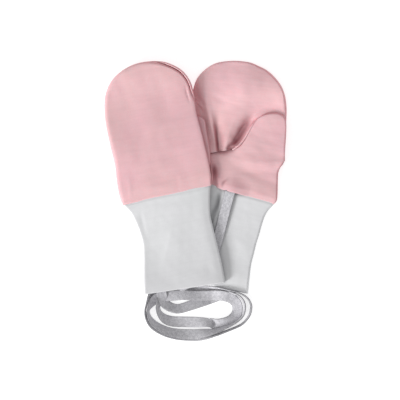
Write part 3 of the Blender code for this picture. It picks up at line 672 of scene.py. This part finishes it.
PINK = (0.745, 0.466, 0.490)
GREY = (0.662, 0.664, 0.675)
# painted shade colours of the pink: in hollows (low, mid), on slopes away from the key light, and in marked folds
RED = {"fold_shade_colour": (0.27, 0.12, 0.14), "lee_shade": ((0.94, 0.78, 0.80), (0.90, 0.72, 0.74)), "deep": 0.12, "low": (0.72, 0.40, 0.42), "mid": (0.93, 0.76, 0.78)}
left_pink = jersey("left_jersey", PINK, math.radians(-11.0), seed=0.013,
                   painted_light_and_shade=((-20, 1.02), (10, 0.985), (45, 0.915), (68, 1.04), (85, 1.06)), **RED)
right_pink = jersey("right_jersey", PINK, math.radians(8.0), streak=0.075, seed=0.041,
                    painted_light_and_shade=((-20, 0.97), (5, 0.97), (30, 1.01), (60, 1.10), (85, 1.04)), **RED)
left_grey = jersey("left_cuff_jersey", GREY, math.radians(-13.0), streak=0.035, fleck=0.03, seed=0.07,
                   painted_light_and_shade=((-90, 0.90), (-72, 0.91), (-45, 0.975), (-10, 1.0)), dye=0.15)
# painted light: the right cuff's hem made paler against the shadows of the tape and the left cuff
right_grey = jersey("right_cuff_jersey", GREY, math.radians(12.0), streak=0.035, fleck=0.03, seed=0.11,
                    dye=0.15,
                    painted_light_and_shade=((-93, 1.19), (-86, 1.16), (-76, 1.04), (-68, 1.0), (0, 1.0)))
grey_melange = melange("melange_tape", (0.660, 0.652, 0.680), (0.385, 0.380, 0.404))


# ---- cloth ------------------------------------------------------------------

def piece(points, faces, mat, node, uv=None):
    """A named mesh that rides on the frame and stands for its CAD node."""
    name = node + "_cloth"
    mesh = bpy.data.meshes.new(name)
    mesh.from_pydata(((np.asarray(points) - MIDDLE) * MM).tolist(), [], faces)
    mesh.polygons.foreach_set("use_smooth", [True] * len(mesh.polygons))
    if uv is not None:
        layer = mesh.uv_layers.new(name="cloth")
        index = np.zeros(len(mesh.loops), np.int32)
        mesh.loops.foreach_get("vertex_index", index)
        layer.data.foreach_set("uv", np.asarray(uv, np.float32)[index].ravel())
    mesh.materials.append(mat)
    mesh.update()
    ob = bpy.data.objects.new(name, mesh)
    bpy.context.scene.collection.objects.link(ob)
    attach(ob, "root")
    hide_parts(node)
    return ob


def thicken(ob, wall, offset=-1.0):
    shell = ob.modifiers.new("wall", "SOLIDIFY")
    shell.thickness = wall * MM
    shell.offset = offset
    shell.use_even_offset = False
    shell.use_quality_normals = True


def panel(name, arcs, centre, face, hand, outer_up, mat, rings=56, turns=10, pitch=0.95,
          flap=None, inset=None, rollover=None, gap=0.1):
    """A hand piece: rings from its middle out to a rolled edge.

    An arc is (rows, roll, rim at its start, rim at its end): roll is the run
    of the rolled edge, a rim of zero or less dips by that much under the
    outer face, and a rim above zero lies that high over the back.
    """
    back = face == "back"
    height = {"back": hand.back, "upper": hand.upper, "lower": hand.whole}[face]
    line, roll, rim, starts, counts = [], [], [], [], []
    for rows, run, rim0, rim1 in arcs:
        rows = np.array(rows, float)
        steps = max(3, round(float(np.sum(np.linalg.norm(np.diff(rows, axis=0), axis=1))) / pitch))
        starts.append(len(line))
        counts.append(steps)
        for k, p in enumerate(through(rows, steps)[:-1]):
            line.append(p)
            roll.append(run)
            share = k / steps
            rim.append(rim0(share) if callable(rim0) else rim0 + (rim1 - rim0) * share)
    line, n = np.array(line), len(line)
    roll, rim = np.array(roll), np.array(rim)
    soft_roll = softened(roll[:, None], 4)[:, 0]
    area = 0.5 * np.sum(line[:, 0] * np.roll(line[:, 1], -1) - np.roll(line[:, 0], -1) * line[:, 1])
    turn = 1.0 if area > 0 else -1.0
    ahead = np.roll(line, -1, axis=0) - line
    ahead /= np.linalg.norm(ahead, axis=1)[:, None]
    normal = turn * np.stack([-ahead[:, 1], ahead[:, 0]], axis=1)
    normal = softened(normal + np.roll(normal, 1, axis=0), 3)
    inward = normal / np.linalg.norm(normal, axis=1)[:, None]
    extra = np.zeros(n) if inset is None else inset(line[:, 0], line[:, 1])
    over = np.zeros(n) if rollover is None else rollover(line[:, 0], line[:, 1])
    soft_roll = soft_roll + over * 2.4 - 0.6 * extra
    middle = np.array(centre)

    def drawn_in(ring, run):
        """The ring moved inward by the run, each point along its own spoke."""
        spoke = middle - ring
        far = np.linalg.norm(spoke, axis=1)
        slant = np.clip(np.sum(spoke * inward, axis=1) / far, 0.3, 1.0)
        share = softened(np.minimum(run / (far * slant), 0.6)[:, None], 3)
        return ring + spoke * share

    edge = drawn_in(line, gap + extra)
    flat = drawn_in(edge, soft_roll)

    def lay(q, drop=0.0):
        x, y = q[:, 0], q[:, 1]
        h = height(x, y)
        down = -1.0 if back else 1.0
        return np.stack([x, y, hand.place(x, y, h - down * drop)], axis=1)

    points = [lay(middle[None, :])]
    for k in range(1, rings + 1):
        s = k / rings
        s = 0.35 * s + 0.65 * math.sin(s * math.pi / 2) if rings > 30 else s
        points.append(lay(middle + (flat - middle) * s))
    h_edge = height(edge[:, 0], edge[:, 1])
    drops = np.where(rim <= 0, -rim, np.abs(h_edge - rim))
    drops = softened(drops[:, None], 2)[:, 0] + 0.35 * extra
    last = np.radians(90.0 + 34.0 * over)
    for k in range(1, turns + 1):
        a = np.minimum(last, last * k / (turns - 1))
        ring = edge + (flat - edge) * (1.0 - np.sin(a))[:, None]
        tail = np.minimum(0.35, drops / 3.0)
        reach = drops + over * 1.15
        fall = reach if k == turns else (reach - tail) * (1.0 - np.cos(a)) / (1.0 - np.cos(last))
        points.append(lay(ring, fall))
    points = np.vstack(points)
    total = rings + turns
    j = np.arange(n)
    nxt = (j + 1) % n
    faces = [(0, 1 + int(a), 1 + int(b)) for a, b in zip(j, nxt)]
    for k in range(total - 1):
        a, b = 1 + k * n + j, 1 + k * n + nxt
        faces += list(zip(a.tolist(), (a + n).tolist(), (b + n).tolist(), b.tolist()))
    if flap:
        index, table, climbs, curled = flap
        first, steps = starts[index], counts[index]
        row = [1 + (total - 1) * n + (first + k) % n for k in range(steps + 1)]
        r = SEAM / 2
        lift = 1.0 if hand.palm_up else -1.0
        foot, way = points[row], np.array([inward[(i - 1) % n] for i in row])
        bands = []
        for a in (45.0, 90.0, 135.0, 180.0):
            a = math.radians(a)
            band = foot.copy()
            band[:, :2] -= way * r * math.sin(a)
            band[:, 2] += lift * r * (1.0 - math.cos(a))
            bands.append(band)
        low = bands[-1][:, :2]
        top = through(table, 240)
        # the free edge: away from the thumb's outline where it curls up, inside it elsewhere
        t_ahead = np.gradient(top, axis=0)
        t_ahead /= np.linalg.norm(t_ahead, axis=1)[:, None]
        c = top - top.mean(axis=0)
        swing = 1.0 if np.sum(c[:-1, 0] * c[1:, 1] - c[1:, 0] * c[:-1, 1]) > 0 else -1.0
        out = np.stack([t_ahead[:, 1], -t_ahead[:, 0]], axis=1) * swing
        s = np.linspace(0.0, 1.0, len(top))
        curl = curled(s)
        rim_line = top + out * (-0.8 + (curled.reach - curled.radius + 0.8) * curl)[:, None]
        a, b = int(len(top) * 0.13), int(len(top) * 0.74)
        left, right = through(rim_line[:a + 1], climbs), through(rim_line[b:][::-1], climbs)
        high = through(rim_line[a:b + 1], steps)
        left = left + (low[0] - left[0]) * np.linspace(1, 0, climbs + 1)[:, None]
        right = right + (low[-1] - right[0]) * np.linspace(1, 0, climbs + 1)[:, None]
        u = np.linspace(0.0, 1.0, steps + 1)[:, None]
        for k in range(1, climbs + 1):
            v = k / climbs
            q = ((1 - v) * low + v * high + (1 - u) * left[k] + u * right[k]
                 - (1 - u) * ((1 - v) * low[0] + v * high[0])
                 - u * ((1 - v) * low[-1] + v * high[-1]))
            bands.append(np.column_stack([q, hand.place(q[:, 0], q[:, 1], UNDER + SEAM)]))
        before = row
        grid = []
        for band in bands:
            new = list(range(len(points), len(points) + len(band)))
            points = np.vstack([points, band])
            for j in range(steps):
                faces.append((before[j], new[j], new[j + 1], before[j + 1]))
            before = new
            grid.append(new)
        # the curled edge: a strip around the free sides, rolling up towards the seam
        free = [g[0] for g in grid[3:]] + grid[-1][1:-1] + [g[-1] for g in grid[3:][::-1]]
        spot = points[free][:, :2]
        nearest = np.array([int(np.argmin(np.hypot(*(top - q).T))) for q in spot])
        facing = out[nearest]
        amount = curl[nearest]
        m = len(free)
        amount = amount * smooth(np.arange(m) / 9.0) * smooth((m - 1 - np.arange(m)) / 9.0)
        rho_h, rho_v = curled.radius, curled.rise / 2.0
        before = free
        for k in range(1, 11):
            a = np.radians(172.0) * amount * k / 10.0
            q = spot + facing * (rho_h * np.sin(a) - 0.55 * amount * smooth((k - 5.0) / 5.0))[:, None]
            h = UNDER + SEAM + rho_v * (1.0 - np.cos(a))
            q = q + facing * (0.02 * k * (1.0 - amount))[:, None]
            band = np.column_stack([q, hand.place(q[:, 0], q[:, 1], h)])
            new = list(range(len(points), len(points) + m))
            points = np.vstack([points, band])
            for j in range(m - 1):
                faces.append((before[j], new[j], new[j + 1], before[j + 1]))
            before = new
    if (turn > 0) != outer_up:
        faces = [tuple(reversed(f)) for f in faces]
    ob = piece(points, faces, mat, name)
    thicken(ob, CLOTH)
    return ob


def paint_fold_shade(ob, folds):
    """Mark the amount of painted shade, 0 to 1, at each place of a cloth along its marked folds and shadowed
    spots, on the face that shows.
    """
    co = np.array([v.co for v in ob.data.vertices]) / MM + MIDDLE
    x, y, z = co.T
    value = np.zeros(len(co))
    for rows in folds:
        value = np.maximum(value, stroke(x, y, rows))
    value = np.clip(value, 0.0, 1.0) * smooth((z - 1.0) / 0.8)
    mark = ob.data.attributes.new("painted_fold_shade", "FLOAT", "POINT")
    mark.data.foreach_set("value", value.astype(np.float32))


class Curl:
    """How much of its curl a thumb's free edge has, along the edge from the crotch."""

    def __init__(self, rows, reach, radius, rise):
        self.rows, self.reach, self.radius, self.rise = rows, reach, radius, rise

    def __call__(self, s):
        rows = np.array(self.rows, float)
        return np.interp(s, rows[:, 0], rows[:, 1])


def cuff(name, table, wrist, base, top, mat, folds):
    """A flattened tube folded double at its hem: out from the wrist seam, round the fold and back inside."""
    seam = through(sorted(wrist), 60)
    rows = through(table, 60)
    length = np.r_[0.0, np.cumsum(np.linalg.norm(np.diff(rows, axis=0), axis=1) / math.sqrt(2))]
    total = length[-1]
    r = CUFF_WALL / 2
    inner = [(d, CUFF_WALL) for d in np.linspace(-1.3, total - r, 44)]
    outer = [(d, 0.0) for d in np.r_[np.linspace(-1.3, 2.3, 10), np.linspace(2.8, total - r, 80)]]
    hem = [(total - r + r * math.sin(a), r - r * math.cos(a)) for a in np.linspace(0, math.pi, 12)]
    rim = [(-1.3 - 0.3 * math.sin(a), r + r * math.cos(a)) for a in np.linspace(0, math.pi, 8)]
    stations = outer + hem[1:-1] + inner[::-1] + rim[1:-1]
    across, around = 90, 14
    points, per = [], 0
    for d, deep in stations:
        lx, ly, rx, ry = (float(np.interp(max(d, 0.0), length, rows[:, k])
                                + min(d, 0.0) * (rows[1, k] - rows[0, k]) / length[1])
                          for k in range(4))
        wide = math.hypot(rx - lx, ry - ly)
        ex, ey = (rx - lx) / wide, (ry - ly) / wide
        thick = FLAT + (CUFF_T - FLAT) * smooth(d / 12.0)
        half = thick / 2.0
        ring = [(half + (wide - thick) * k / across, 90.0) for k in range(across + 1)]
        ring += [(wide - half, 90.0 - 180.0 * k / around) for k in range(1, around)]
        ring += [(half + (wide - thick) * (across - k) / across, -90.0) for k in range(across + 1)]
        ring += [(half, -90.0 - 180.0 * k / around) for k in range(1, around)]
        per = len(ring)
        s, a = np.array(ring).T
        a = np.radians(a)
        across_at = s + (half - deep) * np.cos(a)
        x, y = lx + ex * across_at, ly + ey * across_at
        share = across_at / wide
        chord_x = seam[0, 0] + (seam[-1, 0] - seam[0, 0]) * share
        chord_y = seam[0, 1] + (seam[-1, 1] - seam[0, 1]) * share
        bow = np.interp(chord_x, seam[:, 0], seam[:, 1]) - chord_y
        y = y + bow * (1.0 - smooth(d / 22.0))
        lift = np.sin(a)
        swell = np.zeros_like(x)
        for line in folds:
            swell += stroke(x, y, line)
        swell += 0.06 * unevenness(41 + len(name), 26.0, x, y) + 0.025 * unevenness(43, 9.0, x, y)
        # tucked under the hand's edge at the wrist seam
        tall = half - 0.3 * (1.0 - float(smooth((d + 0.9) / 2.6)))
        wall = min(deep, 0.75 * tall)
        floor_at = base(x, y)
        z = floor_at + half + (tall - wall) * lift
        spare = top(x, y) - floor_at - thick if top else np.zeros_like(x)
        spare = 0.5 * (spare + np.sqrt(spare ** 2 + 0.08)) if top else spare
        slim = 0.9 * np.exp(-((wide - across_at) / 4.5) ** 2) if top else 0.0
        z = z + np.where(lift > 0.0, lift * (spare + (swell - slim) * (1.0 - deep / 3.0)), 0.0)
        points.append(np.column_stack([x, y, z]))
    points = np.vstack(points)
    faces, m = [], len(stations)
    for k in range(m):
        for j in range(per):
            a, b = k * per + j, k * per + (j + 1) % per
            c, d = ((k + 1) % m) * per + (j + 1) % per, ((k + 1) % m) * per + j
            faces.append((a, d, c, b))
    return piece(points, faces, mat, name)


def tape(name, table, steps):
    """One flat strip along its run, leaning where it stands on its edge."""
    run = through(table, steps)
    run[:, 2] = np.maximum(run[:, 2], 0.05)
    ahead = np.gradient(run[:, :2], axis=0)
    ahead /= np.linalg.norm(ahead, axis=1)[:, None]
    along = np.r_[0.0, np.cumsum(np.linalg.norm(np.diff(run[:, :2], axis=0), axis=1))]
    lean = np.radians(run[:, 3])
    z = (run[:, 2] + TAPE_W / 2 * np.abs(np.sin(lean)) + TAPE_T / 2 * np.abs(np.cos(lean)))
    centre = np.column_stack([run[:, 0], run[:, 1], z])
    wide = np.column_stack([-ahead[:, 1] * np.cos(lean), ahead[:, 0] * np.cos(lean), np.sin(lean)])
    tangent = np.gradient(centre, axis=0)
    tangent /= np.linalg.norm(tangent, axis=1)[:, None]
    wide -= tangent * np.sum(wide * tangent, axis=1)[:, None]
    wide /= np.linalg.norm(wide, axis=1)[:, None]
    thick = np.cross(tangent, wide)
    # a folded strip: thicker rolled edges, a slack middle
    section = []
    half_w, half_t = TAPE_W / 2, TAPE_T / 2
    for k in range(9):
        s = -1.0 + 2.0 * k / 8
        section.append((s * (half_w - half_t), half_t * (1.0 - 0.18 * (1.0 - s * s))))
    for a in (67.5, 45.0, 22.5, 0.0, -22.5, -45.0, -67.5):
        a = math.radians(a)
        section.append((half_w - half_t + half_t * math.cos(a), half_t * math.sin(a)))
    for k in range(9):
        s = 1.0 - 2.0 * k / 8
        section.append((s * (half_w - half_t), -half_t * (1.0 - 0.18 * (1.0 - s * s))))
    for a in (247.5, 225.0, 202.5, 180.0, 157.5, 135.0, 112.5):
        a = math.radians(a)
        section.append((-(half_w - half_t) + half_t * math.cos(a), half_t * math.sin(a)))
    section = np.array(section)
    per, m = len(section), len(centre)
    points, uv = [], []
    for s, t in section:
        wave = 0.10 * np.sin(along * 0.31 + 1.3) + 0.08 * np.sin(along * 0.83)
        points.append(centre + wide * (s * (1.0 + 0.02 * wave))[:, None] + thick * t)
        uv.append(np.column_stack([along * MM, np.full(m, s / TAPE_W + 0.5)]))
    points = np.stack(points, axis=1).reshape(-1, 3)
    uv = np.stack(uv, axis=1).reshape(-1, 2)
    faces = []
    for k in range(m - 1):
        for j in range(per):
            a, b = k * per + j, k * per + (j + 1) % per
            faces.append((a, b, b + per, a + per))
    faces.append(tuple(range(per))[::-1])
    faces.append(tuple(range((m - 1) * per, m * per)))
    ob = piece(points, faces, grey_melange, name, uv)
    path = (centre - MIDDLE) * MM
    return ob, path


def above(side, first, last):
    """The outline over two places on it, one on the left and one on the right."""
    top = max(range(len(side)), key=lambda k: side[k][1])
    rows = [p for p in side[:top] if p[1] > first[1] + 3.0]
    rows += [p for p in side[top:] if p[1] > last[1] + 3.0]
    return [first] + rows + [last]


def seam_over(x, y):
    """How far the palm of the left mitten rolls over to the back, at its upper right."""
    return smooth((x + 40.0) / 20.0) * smooth((y - 57.0) / 14.0)


def none(x, y):
    return np.zeros_like(x)


def mitten(side, hand, outline, wrist, seam, fold, thumb, heel, centres, mat, curl, over):
    """Back, upper palm with the thumb's back folded from it, lower palm with the thumb's front."""
    up = hand.palm_up
    low, high = MEET - SEAM / 2, MEET + SEAM / 2
    over_thumb = UNDER + 2 * SEAM + CLOTH

    def thumb_rim(share):
        return over_thumb + 0.75 * float(curl(1.0 - share))

    round_tip = above(outline, seam[0], fold[-1])
    corner = [p for p in outline[:8] if p[1] < seam[0][1] - 3.0] + [seam[0]]
    flank = [fold[-1]] + [p for p in outline[-8:] if p[1] < fold[-1][1] - 2.0]
    seamed = {"pitch": 0.95 if up else 1.25}
    made = [
        panel(side + "_back",
              ((round_tip, 1.9 if up else 3.3, low, low), (flank, 1.8 if up else 2.6, low, low),
               (wrist, 1.1, -0.5, -0.5), (corner, 1.8 if up else 3.6, low, low)),
              centres[0], "back", hand, not up, mat, rings=60 if not up else 36,
              pitch=1.25 if up else 0.95, inset=lambda x, y: 2.0 * over(x, y)),
        panel(side + "_palm_upper",
              ((round_tip, 1.9, high, high), (fold[::-1], 1.2, 0.0, 0.0),
               (seam[::-1], 1.2, 0.0, -0.7)),
              centres[1], "upper", hand, up, mat, rings=64 if up else 40,
              flap=(1, thumb[::-1], 30, curl), rollover=over, **seamed),
        panel(side + "_palm_lower",
              ((seam, 1.2, -0.7, -1.1), (thumb, 1.9, thumb_rim, 0.0),
               (heel[:2], 1.6, over_thumb, high), (heel[1:], 1.8, high, high),
               (wrist, 1.1, -0.5, -0.5), (corner, 1.8, high, high)),
              centres[2], "lower", hand, up, mat, rings=60 if up else 40, **seamed),
    ]
    return made


LEFT_CUFF_FOLDS = (
    ((140.0, 210.0, 0.0, 1.8, 1.8), (142.0, 219.0, -0.25, 1.6, 2.0), (144.5, 230.0, -0.15, 1.6, 2.0),
     (147.0, 242.0, 0.0, 1.8, 2.2)),
    ((160.0, 226.0, 0.0, 9.0, 9.0), (178.0, 246.0, 0.35, 10.0, 10.0), (190.0, 268.0, 0.0, 9.0, 9.0)),
    ((150.0, 268.0, 0.0, 7.0, 7.0), (166.0, 277.0, -0.3, 6.0, 6.0), (184.0, 282.0, 0.0, 6.0, 6.0)),
    ((203.0, 262.0, 0.0, 6.0, 6.0), (211.0, 272.0, -0.3, 5.0, 5.0), (217.0, 283.0, 0.0, 5.0, 5.0)),
)
RIGHT_CUFF_FOLDS = (
    ((221.5, 192.0, -0.5, 1.4, 3.0), (218.5, 201.0, -1.6, 1.5, 4.0), (215.5, 210.0, -1.6, 1.5, 4.0),
     (211.5, 222.0, -1.3, 1.5, 3.0), (210.0, 232.0, 0.0, 1.5, 2.0)),
    ((238.0, 232.0, 0.0, 7.0, 7.0), (244.0, 246.0, 0.3, 7.0, 7.0), (243.0, 266.0, 0.0, 6.0, 6.0)),
    # the hem stands a little open
    ((212.0, 286.0, 1.0, 16.0, 9.0), (231.0, 291.0, 2.3, 18.0, 9.0), (250.0, 294.0, 2.3, 18.0, 9.0)),
)

# painted shade in folds, creases and shadowed spots: u, v, depth of the shade from 0 to 1, width left and right
# of travel in mm
RIGHT_PALM_SHADE = (
    ((252, 114, 0.0, 1.5, 5.0), (248.5, 122, 0.40, 1.8, 5.5), (243.5, 131, 0.74, 1.8, 5.6),
     (239.0, 138.5, 0.90, 1.8, 4.6), (234.5, 143.4, 1.0, 1.6, 3.2), (230.0, 145.8, 0.45, 0.9, 1.8),
     (226.5, 147.0, 0.0, 0.8, 1.6)),
    ((215.5, 112, 0.0, 2.4, 2.4), (215.6, 120, 0.30, 1.6, 1.8), (216.3, 128, 0.55, 1.3, 1.8),
     (217.2, 137, 0.75, 1.0, 1.6), (218.0, 145, 0.9, 0.8, 1.4), (218.6, 151, 0.6, 0.7, 1.2)),
    ((193, 74, 0.0, 2.5, 3.0), (196, 84, 0.15, 3.5, 4.0), (198, 94, 0.25, 4.0, 4.0),
     (202, 103, 0.20, 5.0, 4.0), (206, 112, 0.05, 5.0, 4.0), (209, 121, 0.0, 4.0, 4.0)),
    ((228, 108, 0.0, 4.0, 4.0), (226, 120, 0.12, 4.0, 4.0), (224.5, 134, 0.22, 3.4, 3.4),
     (223, 148, 0.12, 2.4, 2.4)),
)
RIGHT_HEEL_SHADE = (
    ((207, 153.4, 0.5, 1.2, 1.8), (212, 152.9, 0.6, 1.2, 1.8), (216, 152.6, 0.62, 1.2, 1.8),
     (221, 152.2, 0.82, 1.2, 2.3), (225, 151.9, 0.82, 1.2, 2.6), (229, 151.0, 0.6, 1.0, 2.8),
     (233, 149.9, 0.4, 0.9, 2.2), (237, 147.6, 0.0, 0.8, 1.6)),
    ((213.2, 163, 0.0, 1.5, 1.5), (213.6, 168, 0.55, 1.5, 1.4), (214.2, 172.5, 0.62, 1.6, 1.5),
     (214.6, 178, 0.28, 1.3, 1.4), (214.4, 186, 0.08, 1.2, 1.2), (214.0, 191, 0.0, 1.0, 1.0)),
    ((226.0, 152.0, 0.0, 0.6, 0.6), (232.6, 149.8, 0.35, 0.7, 0.7), (239.4, 145.8, 0.6, 0.7, 0.7),
     (245.0, 138.7, 0.6, 0.7, 0.7), (249.3, 131.0, 0.5, 0.7, 0.7), (253.6, 124.0, 0.3, 0.7, 0.7),
     (258.6, 118.2, 0.0, 0.6, 0.6)),
    ((229, 178.5, 0.0, 0.9, 1.0), (224.5, 181.5, 0.45, 0.9, 1.2), (222.4, 185, 0.4, 0.8, 1.2),
     (222.6, 188, 0.0, 0.8, 1.0)),
)
LEFT_BACK_SHADE = (
    ((160, 64, 0.0, 6.0, 6.0), (175, 73, 0.07, 7.0, 7.0), (183, 85, 0.12, 6.0, 8.0),
     (187, 100, 0.08, 5.0, 8.0), (190, 118, 0.0, 5.0, 7.0)),
)
LEFT_THUMB_SHADE = (
    ((204.6, 117, 0.0, 0.8, 0.8), (204.5, 124, 0.5, 0.8, 0.8), (204.8, 131, 0.95, 1.0, 0.9),
     (205.2, 136.5, 0.8, 0.9, 0.9), (206.0, 141, 0.15, 0.8, 0.8), (208.0, 152, 0.35, 0.8, 0.8),
     (210.0, 166, 0.3, 0.8, 0.8), (212.0, 182, 0.0, 0.8, 0.8)),
)
RIGHT_CUFF_SHADE = (
    ((221.5, 189, 0.1, 1.8, 2.0), (219.6, 197, 0.7, 1.6, 2.0), (217.2, 206, 0.8, 1.6, 2.0),
     (212.5, 216, 0.5, 1.4, 2.2), (210.0, 226, 0.0, 1.2, 2.0)),
)

# the thumb's curled edges: place along the edge from the crotch, amount
RIGHT_CURL = Curl(((0.0, 0.0), (0.54, 0.0), (0.76, 1.0), (0.96, 1.0), (1.0, 0.5)), 1.0, 0.95, 2.4)
LEFT_CURL = Curl(((0.0, 0.8), (0.05, 1.0), (0.5, 1.0), (0.65, 0.0), (1.0, 0.0)), 0.15, 1.3, 2.2)

right_hand = Hand(RIGHT_THUMB, RIGHT_FOLD, right_base, right_open, True,
                  {"back": RIGHT_BACK_FOLDS, "upper": RIGHT_PALM_FOLDS, "lower": RIGHT_HEEL_FOLDS})
left_hand = Hand(LEFT_THUMB, LEFT_FOLD, left_base, left_open, False,
                 {"back": LEFT_BACK_FOLDS, "upper": LEFT_UNDER_FOLDS, "lower": LEFT_HEEL_FOLDS},
                 left_top)
right_pieces = mitten("right", right_hand, RIGHT_SIDE, RIGHT_WRIST, RIGHT_PALM_SEAM, RIGHT_FOLD,
                      RIGHT_THUMB, RIGHT_HEEL, ((37.0, 36.0), (33.0, 52.0), (48.0, 3.0)),
                      right_pink, RIGHT_CURL, none)
left_pieces = mitten("left", left_hand, LEFT_SIDE, LEFT_WRIST, LEFT_PALM_SEAM, LEFT_FOLD,
                     LEFT_THUMB, LEFT_HEEL, ((-28.0, 36.0), (-33.0, 52.0), (-8.0, -3.0)),
                     left_pink, LEFT_CURL, seam_over)
right_cuff = cuff("right_cuff", RIGHT_CUFF, RIGHT_WRIST, right_base, None, right_grey, RIGHT_CUFF_FOLDS)
left_cuff = cuff("left_cuff", LEFT_CUFF, LEFT_WRIST, left_base, left_top, left_grey, LEFT_CUFF_FOLDS)
tape_piece, tape_path = tape("tape", TAPE_RUN, 700)
# painted shade in the folds, creases and shadowed spots of these cloths
paint_fold_shade(right_pieces[1], RIGHT_PALM_SHADE)
paint_fold_shade(right_pieces[2], RIGHT_HEEL_SHADE)
paint_fold_shade(right_cuff, RIGHT_CUFF_SHADE)
paint_fold_shade(left_pieces[0], LEFT_BACK_SHADE)
paint_fold_shade(left_pieces[2], LEFT_THUMB_SHADE)


# ---- floor ------------------------------------------------------------------

floor_mat = Nodes("floor_paper")
spot = floor_mat.add("ShaderNodeTexCoord").outputs["Object"]
grain = floor_mat.add("ShaderNodeTexNoise", {0: spot, "Scale": 40.0, "Detail": 2.0}).outputs["Fac"]
floor_mat.link(floor_mat.ramp(grain, ((0.3, grey(0.595)), (0.7, grey(0.605)))), "Base Color")
floor_mat.shader.inputs["Emission Color"].default_value = (1.0, 1.0, 1.0, 1.0)
floor_mat.shader.inputs["Emission Strength"].default_value = 0.66
floor_mat.shader.inputs["Roughness"].default_value = 0.95
floor_mat.shader.inputs["Specular IOR Level"].default_value = 0.1
floor_mesh = bpy.data.meshes.new("floor")
floor_mesh.from_pydata([(-6, -6, 0), (6, -6, 0), (6, 6, 0), (-6, 6, 0)], [], [(0, 1, 2, 3)])
floor_mesh.materials.append(floor_mat.mat)
floor = bpy.data.objects.new("floor", floor_mesh)
floor.location = (0.0, 0.0, -0.0001)
bpy.context.scene.collection.objects.link(floor)


# ---- size of an outline -----------------------------------------------------

def flat_size(rows):
    """Width, length and area of an outline in millimetres."""
    p = np.vstack(rows)
    area = 0.5 * abs(np.sum(p[:, 0] * np.roll(p[:, 1], -1) - np.roll(p[:, 0], -1) * p[:, 1]))
    return np.ptp(p[:, 0]), np.ptp(p[:, 1]), area


bpy.context.view_layer.update()
